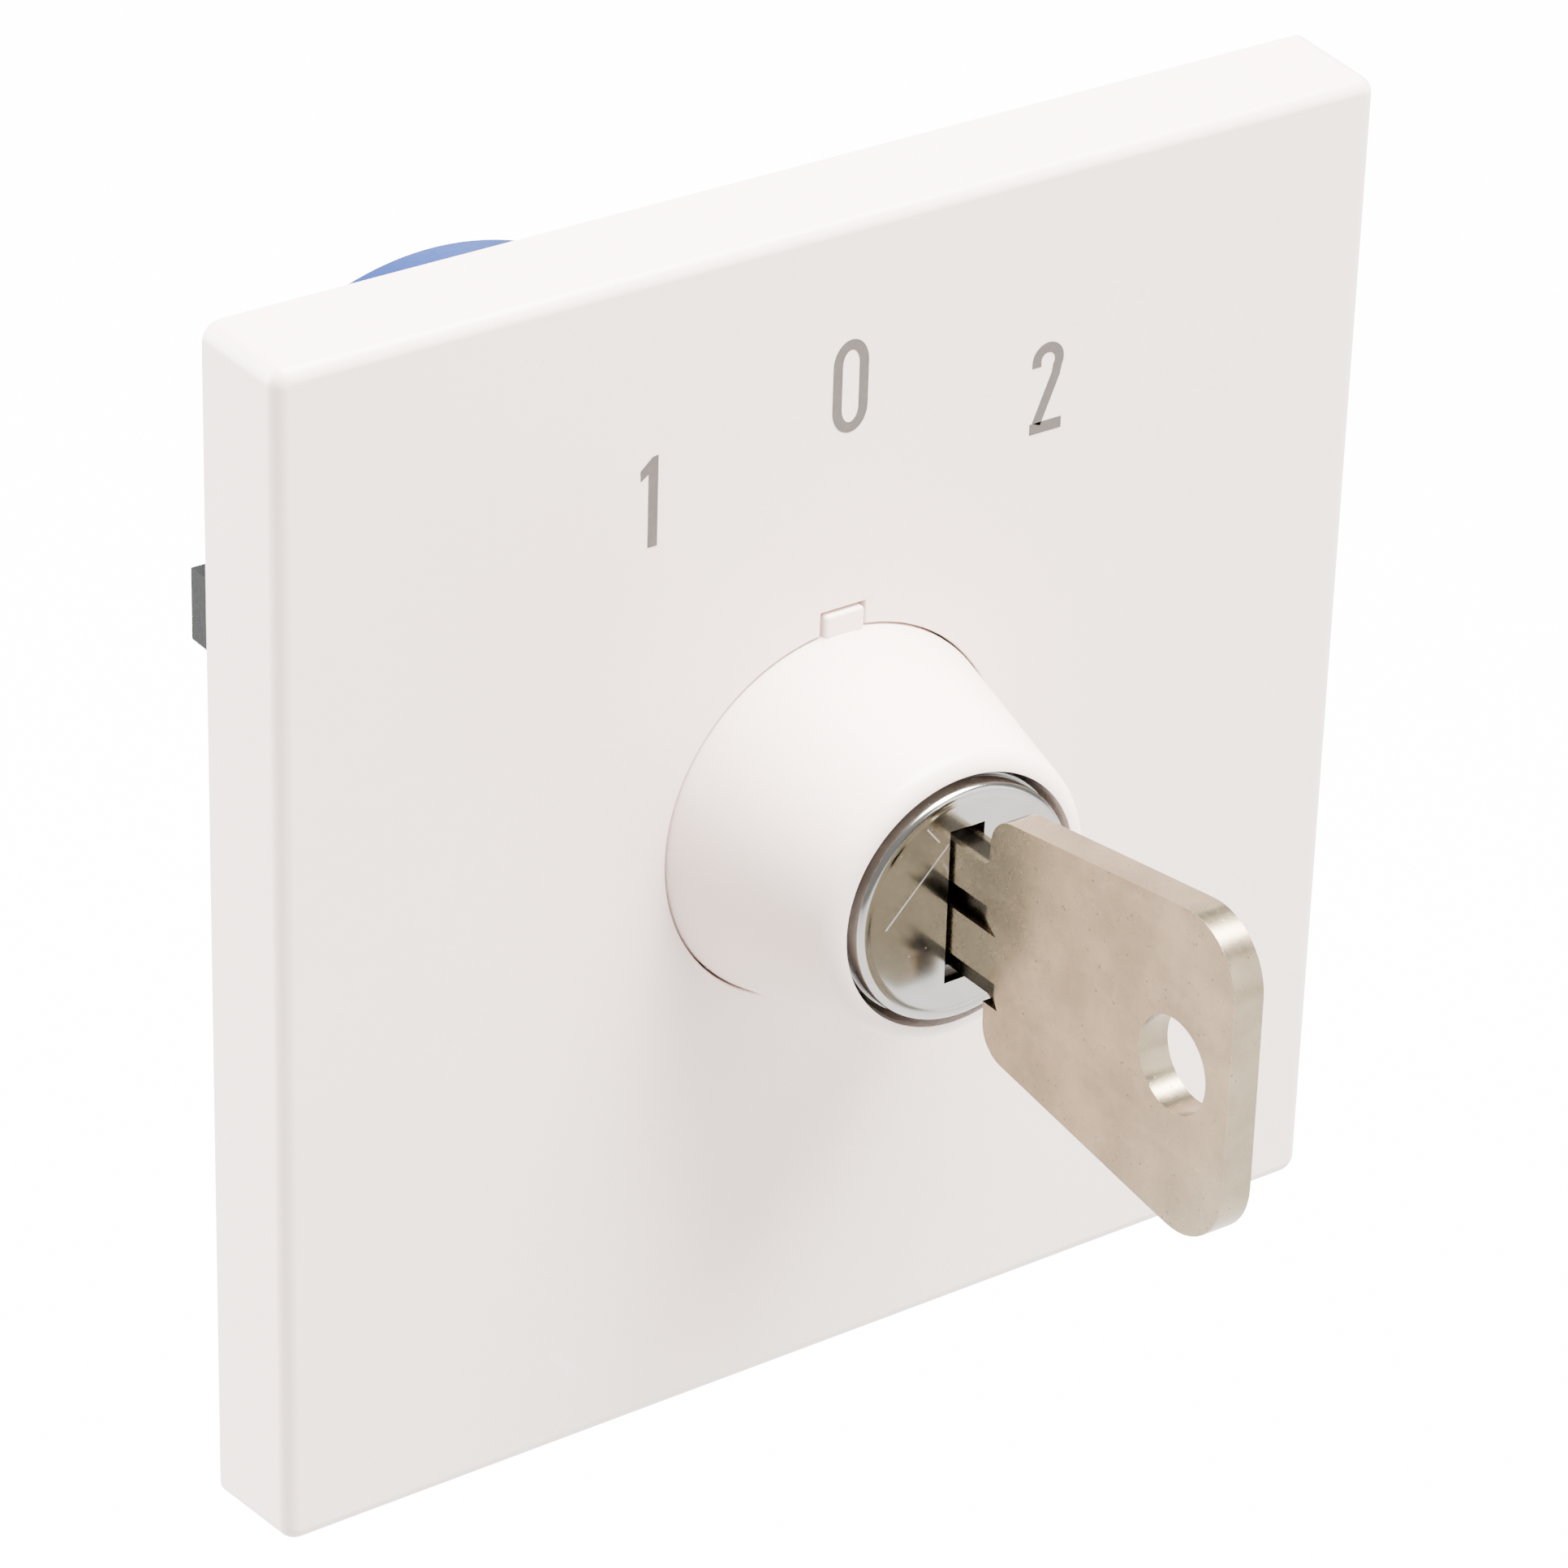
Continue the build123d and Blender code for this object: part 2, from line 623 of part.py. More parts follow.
with BuildPart(Plane.XZ) as stop_plate:
    with BuildSketch(Plane.XZ.offset(stop_back)):
        Circle(stop_hub_radius)
        with Locations((0, -stop_lobe_reach / 2)):
            Rectangle(stop_lobe_width, stop_lobe_reach)
        Rectangle(shaft_width + 2 * socket_gap, shaft_width + 2 * socket_gap, mode=Mode.SUBTRACT)
    extrude(amount=stop_thickness)
finish(stop_plate, "stop_plate")

with BuildPart() as detent_plungers:
    for turn in plunger_turns:
        with BuildSketch(diagonal_plane(plunger_tip, turn)):
            Circle(plunger_radius)
        extrude(amount=plunger_back - plunger_tip)
    tips = detent_plungers.edges().filter_by(GeomType.CIRCLE)
    tips = tips.filter_by(lambda e: abs(e.center().X) < (plunger_tip + 1) * cos(pi / 4))
    fillet(tips, radius=plunger_radius - 0.3)
finish(detent_plungers, "detent_plungers")

with BuildPart() as detent_springs:
    for turn in plunger_turns:
        start = diagonal_plane(plunger_back + detent_spring_ends, turn)
        with BuildLine(mode=Mode.PRIVATE) as coil:
            Helix(
                pitch=detent_spring_pitch,
                height=plunger_bore_end - plunger_back - 2 * detent_spring_ends,
                radius=detent_spring_radius,
                center=start.origin,
                direction=start.z_dir,
            )
        with BuildSketch(Plane(origin=coil.line @ 0, z_dir=coil.line % 0), mode=Mode.PRIVATE) as wire:
            Circle(detent_spring_wire)
        sweep(wire.sketch, path=coil.line, is_frenet=True)
finish(detent_springs, "detent_springs")

# ---------------------------------------------------------------- contact stages
cam_slope = cam_travel / radians(index_angle)
cam_flank = pi / 4  # half of the angle over which a flank rises steadily
cam_low = cam_radius - cam_slope * cam_flank
cam_high = cam_radius + cam_slope * cam_flank
chamber_radius = cam_high + 0.9
chamber_height = bridge_length + 0.6
pocket_foot = 9.8
pocket_depth = contact_strip_width + 1.0


def flank_points(middle, slope):
    """Points of a cam flank whose radius changes steadily with the angle about its middle."""
    steps = [cam_flank * (i / 4 - 1) for i in range(9)]
    radii = [cam_radius + slope * a for a in steps]
    return [(radius * cos(middle + a), radius * sin(middle + a)) for radius, a in zip(radii, steps)]


def contact_stage(back, tongue):
    """One insulating housing: a front wall, a chamber open to the rear and four terminal pockets."""
    middle = back + (stage_depth - stage_front_wall) / 2
    with BuildPart(Plane.XZ) as stage:
        with BuildSketch(Plane.XZ.offset(back)):
            Circle(housing_radius)
            with BuildLine():
                Polyline(
                    (0, wing_flat / 2 + 4.2),
                    (wing_reach - 1.9, wing_flat / 2 + 4.2),
                    (wing_reach - 0.9, wing_flat / 2 + 1.6),
                    (wing_reach, wing_flat / 2),
                    (wing_reach, -wing_flat / 2),
                    (wing_reach - 0.9, -wing_flat / 2 - 1.6),
                    (wing_reach - 1.9, -wing_flat / 2 - 4.2),
                    (0, -wing_flat / 2 - 4.2),
                )
                mirror(about=Plane.YZ)
            make_face()
        extrude(amount=stage_depth)
        if tongue:
            with BuildSketch(Plane.XZ.offset(back - tongue)):
                with Locations((-wing_reach + 0.95, 0), (wing_reach - 0.95, 0)):
                    Rectangle(1.9, wing_flat)
            extrude(amount=tongue)
        # chamber for the cam and the moving contacts
        with BuildSketch(Plane.XZ.offset(back)):
            Circle(chamber_radius)
            Rectangle(2 * chamber_reach, chamber_height)
        extrude(amount=stage_depth - stage_front_wall, mode=Mode.SUBTRACT)
        with Locations((0, 0, back)):
            Cylinder(shaft_width * 0.75, stage_depth, align=STAND, mode=Mode.SUBTRACT)
        # spring pockets in the wings
        with BuildSketch(Plane.YZ.offset(-spring_seat)):
            with Locations((-middle, 0)):
                Circle(spring_radius + spring_wire + 0.35)
        extrude(amount=2 * spring_seat, mode=Mode.SUBTRACT)
        # terminal pockets, the slots the strips pass through and the holes for the terminal screws
        for side in (-1, 1):
            for end in (-1, 1):
                with Locations((side * (strip_face + 10), end * (pocket_foot + 10), middle)):
                    Box(20, 20, pocket_depth, mode=Mode.SUBTRACT)
                with Locations((side * (strip_face - contact_strip / 2), end * contact_strip_end / 2, back)):
                    Box(
                        contact_strip + 0.1,
                        contact_strip_end + 0.2,
                        middle - back + contact_strip_width / 2 + 0.05,
                        align=STAND,
                        mode=Mode.SUBTRACT,
                    )
        with BuildSketch(Plane.YZ.offset(-contact_strip_near)):
            with Locations((-middle, -terminal_height), (-middle, terminal_height)):
                Circle(terminal_screw_radius + 0.1)
        extrude(amount=2.4, mode=Mode.SUBTRACT)
        with BuildSketch(Plane.YZ.offset(contact_strip_near)):
            with Locations((-middle, -terminal_height), (-middle, terminal_height)):
                Circle(terminal_screw_radius + 0.1)
        extrude(amount=-2.4, mode=Mode.SUBTRACT)
        with BuildSketch(Plane.XZ.offset(back)):
            with Locations((0, -tie_bolt_z), (0, tie_bolt_z)):
                Circle(tie_bolt_radius + fastener_gap)
        extrude(amount=stage_depth, mode=Mode.SUBTRACT)
    return stage


def contact_cam(back):
    """A cam whose two flanks rise steadily, so a slider moves in proportion to the turn."""
    with BuildPart(Plane.XZ) as cam:
        with BuildSketch(Plane.XZ.offset(back + cam_room)):
            with BuildLine():
                right = Spline(*flank_points(0, -cam_slope))
                left = Spline(*flank_points(pi, cam_slope))
                CenterArc((0, 0), cam_low, 45, 90)
                CenterArc((0, 0), cam_high, 225, 90)
            make_face()
            Rectangle(shaft_width + 2 * socket_gap, shaft_width + 2 * socket_gap, mode=Mode.SUBTRACT)
        extrude(amount=stage_depth - stage_front_wall - 2 * cam_room)
    return cam


def contact_slider(back, side):
    """The insulating slider that a cam flank pushes outwards, with a nose that carries the bridge."""
    middle = back + (stage_depth - stage_front_wall) / 2
    tip = cam_radius + cam_gap
    with BuildPart() as slider:
        with BuildSketch(Plane.XZ.offset(middle - slider_depth / 2)):
            with BuildLine():
                Polyline(
                    (side * tip, 0.3),
                    (side * (tip + 1.0), slider_width / 2),
                    (side * bridge_inner, slider_width / 2),
                    (side * bridge_inner, -slider_width / 2),
                    (side * (tip + 1.0), -slider_width / 2),
                    (side * tip, -0.3),
                    close=True,
                )
            make_face()
        extrude(amount=slider_depth)
        with BuildSketch(Plane.YZ.offset(side * bridge_inner)):
            with Locations((-middle, 0)):
                Circle(slider_nose_radius)
        extrude(amount=side * slider_nose)
    return slider


def contact_bridge(back, side):
    """The moving contact: a bar across the slider with a silver tip at each end."""
    middle = back + (stage_depth - stage_front_wall) / 2
    with BuildPart() as bridge:
        with BuildSketch(Plane.YZ.offset(side * bridge_inner)):
            with Locations((-middle, 0)):
                Rectangle(bridge_width + 1.0, bridge_length)
                Circle(slider_nose_radius + 0.05, mode=Mode.SUBTRACT)
        extrude(amount=side * bridge_thickness)
        with BuildSketch(Plane.YZ.offset(side * moving_tip_face)):
            with Locations((-middle, -contact_spread), (-middle, contact_spread)):
                Circle(tip_radius)
        extrude(amount=side * tip_thickness)
    return bridge


def contact_spring(back, side):
    """The spring that closes a contact, between the bridge and the end of its pocket."""
    middle = back + (stage_depth - stage_front_wall) / 2
    with BuildPart() as spring:
        with BuildLine(mode=Mode.PRIVATE) as coil:
            Helix(
                pitch=0.95,
                height=spring_seat - bridge_outer - 2 * spring_wire - 0.1,
                radius=spring_radius,
                center=(side * (bridge_outer + spring_wire + 0.05), -middle, 0),
                direction=(side, 0, 0),
            )
        with BuildSketch(Plane(origin=coil.line @ 0, z_dir=coil.line % 0), mode=Mode.PRIVATE) as wire:
            Circle(spring_wire)
        sweep(wire.sketch, path=coil.line, is_frenet=True)
    return spring


def stage_terminals(back):
    """Four fixed strips, each with a silver tip inside and a screw seat outside."""
    middle = back + (stage_depth - stage_front_wall) / 2
    with BuildPart() as strips:
        for side in (-1, 1):
            for end in (-1, 1):
                with BuildSketch(Plane.YZ.offset(side * contact_strip_near)):
                    with Locations((-middle, end * (contact_strip_foot + contact_strip_end) / 2)):
                        Rectangle(contact_strip_width, contact_strip_end - contact_strip_foot)
                    with Locations((-middle, end * terminal_height)):
                        Circle(terminal_screw_radius + 0.1, mode=Mode.SUBTRACT)
                extrude(amount=side * contact_strip)
                with BuildSketch(Plane.YZ.offset(side * strip_face)):
                    with Locations((-middle, end * contact_spread)):
                        Circle(tip_radius)
                extrude(amount=side * tip_thickness)
    return strips


def stage_screws(back):
    """Four terminal screws of a stage."""
    middle = back + (stage_depth - stage_front_wall) / 2
    with BuildPart() as screws:
        for side in (-1, 1):
            for end in (-1, 1):
                with BuildSketch(Plane.YZ.offset(side * (strip_face + clamp_thickness))):
                    with Locations((-middle, end * terminal_height)):
                        Circle(terminal_head_radius)
                extrude(amount=side * terminal_head_height)
                with BuildSketch(Plane.YZ.offset(side * (strip_face + clamp_thickness))):
                    with Locations((-middle, end * terminal_height)):
                        Circle(terminal_screw_radius)
                extrude(amount=-side * (clamp_thickness + contact_strip + 2.2))
                head_face = strip_face + clamp_thickness + terminal_head_height
                with BuildSketch(Plane.YZ.offset(side * head_face)):
                    with Locations((-middle, end * terminal_height)):
                        Rectangle(3.9, 0.6)
                extrude(amount=-side * 0.7, mode=Mode.SUBTRACT)
    return screws


def stage_clamps(back):
    """Four square clamping washers of a stage."""
    middle = back + (stage_depth - stage_front_wall) / 2
    with BuildPart() as clamps:
        for side in (-1, 1):
            for end in (-1, 1):
                with BuildSketch(Plane.YZ.offset(side * strip_face)):
                    with Locations((-middle, end * terminal_height)):
                        Rectangle(clamp_size + 0.6, clamp_size - 0.3)
                        Circle(terminal_screw_radius + 0.1, mode=Mode.SUBTRACT)
                extrude(amount=side * clamp_thickness)
    return clamps


for stage_name, stage_back, stage_tongue in (
    ("front", front_stage_back, 0.0),
    ("rear", rear_stage_back, wing_tongue),
):
    finish(contact_stage(stage_back, stage_tongue), f"{stage_name}_contact_housing")
    finish(contact_cam(stage_back), f"{stage_name}_cam")
    finish(stage_terminals(stage_back), f"{stage_name}_terminals")
    finish(stage_screws(stage_back), f"{stage_name}_terminal_screws")
    finish(stage_clamps(stage_back), f"{stage_name}_terminal_clamps")
    for side_name, side in (("left", -1), ("right", 1)):
        finish(contact_slider(stage_back, side), f"{stage_name}_{side_name}_slider")
        finish(contact_bridge(stage_back, side), f"{stage_name}_{side_name}_bridge")
        finish(contact_spring(stage_back, side), f"{stage_name}_{side_name}_spring")

# ---------------------------------------------------------------- rear cover and tie bolts
with BuildPart(Plane.XZ) as rear_cover:
    with BuildSketch(Plane.XZ.offset(switch_back)):
        Circle(rear_cover_radius)
        Rectangle(2 * (wing_reach - 2.0), 3 * rear_cover_radius, mode=Mode.INTERSECT)
        Circle(journal_radius + running_gap, mode=Mode.SUBTRACT)
        with Locations((0, -tie_bolt_z), (0, tie_bolt_z)):
            Circle(tie_bolt_radius + fastener_gap, mode=Mode.SUBTRACT)
    extrude(amount=rear_cover_thickness)
    with BuildSketch(Plane.XZ.offset(switch_back)):
        with Locations((0, -tie_bolt_z), (0, tie_bolt_z)):
            Circle(tie_head_radius + 0.2)
    extrude(amount=tie_head_height + 0.2, mode=Mode.SUBTRACT)
finish(rear_cover, "rear_cover")

tie_head_front = switch_back + tie_head_height + 0.2

with BuildPart(Plane.XZ) as tie_bolts:
    with Locations((0, -tie_bolt_z, tie_head_front), (0, tie_bolt_z, tie_head_front)):
        Cylinder(tie_bolt_radius, -0.3 - tie_head_front, align=STAND)
        with Locations((0, 0, -tie_head_height)):
            Cylinder(tie_head_radius, tie_head_height, align=STAND)
            Box(5.0, 0.8, 0.9, align=STAND, mode=Mode.SUBTRACT)
finish(tie_bolts, "tie_bolts")
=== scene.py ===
"""Visual model of a key-operated 1-0-2 selector switch for a flush wall box."""

import json
from math import acos, cos, pi, radians, sin, tan

import bmesh
import bpy
from mathutils import Matrix, Vector


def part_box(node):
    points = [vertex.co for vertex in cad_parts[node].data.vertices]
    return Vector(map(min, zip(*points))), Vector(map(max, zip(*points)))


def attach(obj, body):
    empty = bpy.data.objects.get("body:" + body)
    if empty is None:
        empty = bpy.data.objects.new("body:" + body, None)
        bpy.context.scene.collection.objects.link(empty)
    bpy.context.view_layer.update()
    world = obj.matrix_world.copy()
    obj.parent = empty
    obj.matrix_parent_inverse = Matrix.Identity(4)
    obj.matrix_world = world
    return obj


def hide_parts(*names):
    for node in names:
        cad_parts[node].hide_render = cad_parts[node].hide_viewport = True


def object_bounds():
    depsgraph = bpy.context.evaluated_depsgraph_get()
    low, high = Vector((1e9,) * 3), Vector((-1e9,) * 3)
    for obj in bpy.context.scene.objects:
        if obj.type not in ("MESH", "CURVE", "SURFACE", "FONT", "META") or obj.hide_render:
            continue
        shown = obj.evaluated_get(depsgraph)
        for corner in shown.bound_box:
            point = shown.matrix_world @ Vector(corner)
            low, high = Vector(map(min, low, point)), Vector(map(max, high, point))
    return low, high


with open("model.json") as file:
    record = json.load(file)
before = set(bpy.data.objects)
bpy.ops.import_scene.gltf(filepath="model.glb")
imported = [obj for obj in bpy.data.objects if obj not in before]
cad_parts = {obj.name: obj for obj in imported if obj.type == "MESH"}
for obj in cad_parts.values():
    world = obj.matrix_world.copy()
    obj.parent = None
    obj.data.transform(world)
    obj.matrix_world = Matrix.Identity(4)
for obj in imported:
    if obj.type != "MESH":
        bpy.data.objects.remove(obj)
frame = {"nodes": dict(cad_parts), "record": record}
cad_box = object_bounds()

bl_info = {
    "name": "Key Selector Switch",
    "version": (1, 0, 0),
    "blender": (4, 5, 0),
    "location": "View3D > Sidebar > Key Switch",
    "description": "Builds the visible pieces of a flush key-operated selector switch",
    "category": "Add Mesh",
}

MM = 0.001
GROOVE_RUNOUT = 5.1 * MM  # how far the key's grooves run out past the cap's face
# pieces are drawn facing up (X right, Y up the plate, Z towards the user) and then tipped onto the wall
TIP_ONTO_WALL = Matrix.Rotation(pi / 2, 4, "X")


def node_span(name):
    """A CAD node's lowest and highest corners as the user faces it: right, up and towards the user."""
    low, high = (Vector(corner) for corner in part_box(name))
    return Vector((low.x, low.z, -high.y)), Vector((high.x, high.z, -low.y))


PLATE_LOW, PLATE_HIGH = node_span("cover_plate")
COLLAR_LOW, COLLAR_HIGH = node_span("lock_collar")
CAP_LOW, CAP_HIGH = node_span("plug_face_cap")
KEY_LOW, KEY_HIGH = node_span("key")


# ---------------------------------------------------------------- sizes and colours a user may change
def length(name, millimetres, description):
    """A length property with its default in millimetres."""
    return bpy.props.FloatProperty(
        name=name, description=description, default=millimetres * MM, min=0.0, unit="LENGTH", precision=5
    )


def colour(name, red, green, blue, description):
    """A colour property in linear light."""
    return bpy.props.FloatVectorProperty(
        name=name,
        description=description,
        default=(red, green, blue),
        size=3,
        subtype="COLOR",
        min=0.0,
        max=1.0,
    )


class PlateSizes(bpy.types.PropertyGroup):
    """The cover plate and its digits."""

    wall: length("Wall", 2.0, "Thickness of the plate's front and sides")
    draft: length("Draft", 0.35, "How far each side leans in from the wall to the front")
    edge: length("Edge radius", 0.95, "Rounding of the front edge")
    corner: length("Corner radius", 1.2, "Rounding of the four upright edges")
    hole: length("Hole radius", 12.55, "Radius of the hole round the collar")
    notch_left: length("Notch left", 1.5, "Reach of the tab's notch to the left of the middle")
    notch_right: length("Notch right", 1.8, "Reach of the tab's notch to the right of the middle")
    notch_top: length("Notch top", 14.0, "Height of the tab's notch above the axis")
    peg: length("Peg radius", 1.8, "Radius of the snap pegs")
    peg_barb: length("Peg barb", 0.35, "How far a peg's barb stands out")
    peg_spread: length("Peg spread", 39.0, "Distance between the snap pegs")
    digit_height: length("Digit height", 6.1, "Height of the printed digits")
    digit_stroke: length("Digit stroke", 0.68, "Width of a digit's stroke")
    digit_circle: length("Digit circle", 28.8, "Radius of the circle the digits stand on")
    ink: length("Ink", 0.02, "Thickness of the printed ink")


class CollarSizes(bpy.types.PropertyGroup):
    """The conical collar round the lock."""

    base: length("Base radius", 12.4, "Radius where the collar meets the plate")
    rim: length("Rim radius", 9.5, "Outer radius at the rim, before it is rounded")
    rim_round: length("Rim rounding", 1.1, "Rounding of the rim's outer edge")
    bore: length("Bore radius", 8.45, "Radius of the hole round the lock")
    counterbore: length("Counterbore radius", 10.2, "Radius of the recess for the ring nut")
    flange: length("Flange thickness", 2.0, "Thickness of the flange behind the plate")
    step: length("Counterbore top", 6.0, "Height of the counterbore's shoulder")
    tab_width: length("Tab width", 2.9, "Width of the locating tab")
    tab_offset: length("Tab offset", 0.15, "How far the tab stands to the right of the middle")
    tab_top: length("Tab top", 13.8, "Height of the tab above the axis")
    tab_proud: length("Tab proud", 0.25, "How far the tab stands out of the plate")
    screw_spread: length("Screw spread", 30.4, "Distance between the flange's screws")


class LockSizes(bpy.types.PropertyGroup):
    """The polished cap on the lock's face."""

    set_in: length("Set in", 0.2, "How far the cap's edge is drawn in for its polish")
    rolled_rim: length("Rolled rim", 0.42, "Radius of the cap's rolled edge")
    dish_edge: length("Dish edge", 0.5, "Distance from the cap's edge to its dished face")
    dish_depth: length("Dish depth", 0.14, "Depth of the dished face")
    slot_width: length("Slot width", 2.5, "Width of the key's slot")
    slot_height: length("Slot height", 10.4, "Height of the key's slot")


class KeySizes(bpy.types.PropertyGroup):
    """The flat key."""

    blade: length("Blade height", 9.1, "Height of the blade")
    shoulder: length("Shoulder height", 16.0, "Height of the bow at its shoulders")
    far_end: length("Far height", 22.7, "Height of the bow at its far end, before it is rounded")
    bow: length("Bow length", 23.05, "Length of the bow")
    corner: length("Corner radius", 4.3, "Rounding of the bow's far corners")
    shoulder_round: length("Shoulder radius", 2.2, "Rounding of the bow's shoulders")
    neck_round: length("Neck radius", 0.5, "Inner rounding where the blade meets the bow")
    hole: length("Ring hole radius", 3.07, "Radius of the key ring's hole")
    hole_from_end: length("Hole from end", 5.2, "Distance from the hole's centre to the far end")
    chamfer: length("Chamfer", 0.2, "Worn chamfer along the bow's edges")
    groove: length("Groove depth", 0.6, "Depth of the milled grooves")
    groove_width: length("Groove width", 1.7, "Width of the milled grooves")


class SwitchColours(bpy.types.PropertyGroup):
    """The finishes' main colours."""

    white: colour("White plastic", 0.86, 0.71, 0.645, "Plate and collar")
    ink: colour("Digit ink", 0.075, 0.06, 0.05, "Printed digits")
    chrome: colour("Polished plate", 0.34, 0.33, 0.305, "Lock face")
    key: colour("Nickel silver", 0.27, 0.22, 0.145, "Key")
    blue: colour("Blue plastic", 0.001, 0.014, 0.08, "Rear cover")
    black: colour("Black thermoset", 0.002, 0.002, 0.0021, "Latch and contact housings")
    zinc: colour("Zinc plate", 0.56, 0.58, 0.60, "Support frame and shaft")
    cast: colour("Die-cast zinc", 0.42, 0.41, 0.39, "Lock barrel and plug")
    brass: colour("Brass", 0.62, 0.43, 0.16, "Wafers")
    copper: colour("Contact alloy", 0.66, 0.42, 0.24, "Terminal strips and bridges")
    natural: colour("Natural plastic", 0.56, 0.52, 0.42, "Cams, sliders and indexing pieces")
    floor: colour("Floor", 0.35, 0.35, 0.35, "Studio floor")


# ---------------------------------------------------------------- shader expressions
class Value:
    """A shader socket that takes part in ordinary arithmetic; each step adds a Math node."""

    def __init__(self, finish, socket):
        self.finish = finish
        self.socket = socket

    def step(self, operation, *values):
        return self.finish.node("ShaderNodeMath", {"operation": operation}, dict(enumerate(values)))

    def __add__(self, other):
        return self.step("ADD", self, other)

    def __sub__(self, other):
        return self.step("SUBTRACT", self, other)

    def __rsub__(self, other):
        return self.step("SUBTRACT", other, self)

    def __mul__(self, other):
        return self.step("MULTIPLY", self, other)

    def __truediv__(self, other):
        return self.step("DIVIDE", self, other)

    __radd__ = __add__
    __rmul__ = __mul__

    def root(self):
        return self.step("SQRT", self)

    def larger(self, other):
        return self.step("MAXIMUM", self, other)

    def smaller(self, other):
        return self.step("MINIMUM", self, other)

    def ramp(self, low, high):
        """0 below low and 1 above high, with a smooth rise; falls instead where low is above high."""
        settings = {"interpolation_type": "SMOOTHSTEP"}
        if low < high:
            return self.finish.node("ShaderNodeMapRange", settings, {0: self, 1: low, 2: high})
        rise = self.finish.node("ShaderNodeMapRange", settings, {0: self, 1: high, 2: low})
        return 1.0 - rise


class Finish:
    """One material: a Principled shader and the nodes that vary it."""

    def __init__(self, name):
        self.material = bpy.data.materials.new(name + "_finish")
        self.material.use_nodes = True
        self.tree = self.material.node_tree
        self.shader = self.tree.nodes["Principled BSDF"]
        self.place = self.node("ShaderNodeTexCoord", output="Object")

    def node(self, kind, settings=None, values=None, output=0):
        """Adds a node, sets it up, joins or fills its sockets and returns one of its outputs."""
        made = self.tree.nodes.new(kind)
        for key, setting in (settings or {}).items():
            setattr(made, key, setting)
        for key, value in (values or {}).items():
            if isinstance(value, Value):
                self.tree.links.new(value.socket, made.inputs[key])
            else:
                made.inputs[key].default_value = value
        return Value(self, made.outputs[output])

    def axes(self):
        """The place's three coordinates in millimetres: right, into the wall and up."""
        split = self.tree.nodes.new("ShaderNodeSeparateXYZ")
        self.tree.links.new(self.place.socket, split.inputs[0])
        return tuple(Value(self, output) * (1 / MM) for output in split.outputs)

    def stretched(self, x, y, z, turn=0.0):
        """The place scaled by three factors and turned about the line into the wall."""
        turned = self.node(
            "ShaderNodeVectorRotate", {"rotation_type": "Y_AXIS"}, {"Vector": self.place, "Angle": turn}
        )
        return self.node("ShaderNodeVectorMath", {"operation": "MULTIPLY"}, {0: turned, 1: (x, y, z)})

    def noise(self, scale, detail=2.0, roughness=0.5, place=None):
        """Noise about 0.5, with its scale in cells per metre."""
        values = {"Vector": place or self.place, "Scale": scale, "Detail": detail, "Roughness": roughness}
        return self.node("ShaderNodeTexNoise", None, values)

    def cells(self, scale, output="Distance"):
        """Voronoi cells, with their scale in cells per metre."""
        return self.node("ShaderNodeTexVoronoi", None, {"Vector": self.place, "Scale": scale}, output)

    def mix(self, factor, first, second):
        """Mixes two colours."""
        made = self.tree.nodes.new("ShaderNodeMix")
        made.data_type = "RGBA"
        for index, value in ((0, factor), (6, first), (7, second)):
            if isinstance(value, Value):
                self.tree.links.new(value.socket, made.inputs[index])
            elif index:
                made.inputs[index].default_value = (*value[:3], 1.0)
            else:
                made.inputs[index].default_value = value
        return Value(self, made.outputs[2])

    def bump(self, height, distance, strength=1.0):
        """Bumps the surface by a height; distance is the bump's depth in millimetres."""
        values = {"Height": height, "Distance": distance * MM, "Strength": strength}
        normal = self.node("ShaderNodeBump", None, values)
        self.tree.links.new(normal.socket, self.shader.inputs["Normal"])

    def set(self, **sockets):
        """Sets or joins the shader's sockets, named with underscores."""
        for key, value in sockets.items():
            socket = self.shader.inputs[key.replace("_", " ").title()]
            if isinstance(value, Value):
                self.tree.links.new(value.socket, socket)
            elif socket.type == "RGBA":
                socket.default_value = (*value[:3], 1.0)
            else:
                socket.default_value = value
        return self.material

    def line(self, start, end):
        """Distance in millimetres from a straight line drawn on the plate's plane, right and up."""
        across, _, up = self.axes()
        run = Vector(end) - Vector(start)
        along = ((across - start[0]) * run.x + (up - start[1]) * run.y) / run.length_squared
        along = along.larger(0.0).smaller(1.0)
        right = across - start[0] - along * run.x
        above = up - start[1] - along * run.y
        return (right * right + above * above).root()


def shade(rgb, factor):
    """A colour made lighter or darker."""
    return tuple(min(1.0, channel * factor) for channel in rgb)


def hairlines(finish, turn, density, thread):
    """Thin scuffs in one direction, in patches: 0 nearly everywhere and 1 on a scuff."""
    threads = finish.noise(density, 1.0, 0.4, finish.stretched(1.0, thread, thread, turn))
    patches = finish.noise(160.0, 1.0).ramp(0.56, 0.7)
    return threads.ramp(0.71, 0.76) * patches


# ---------------------------------------------------------------- finishes
def finish_named(name):
    """A finish that has been made already."""
    return bpy.data.materials[name + "_finish"]


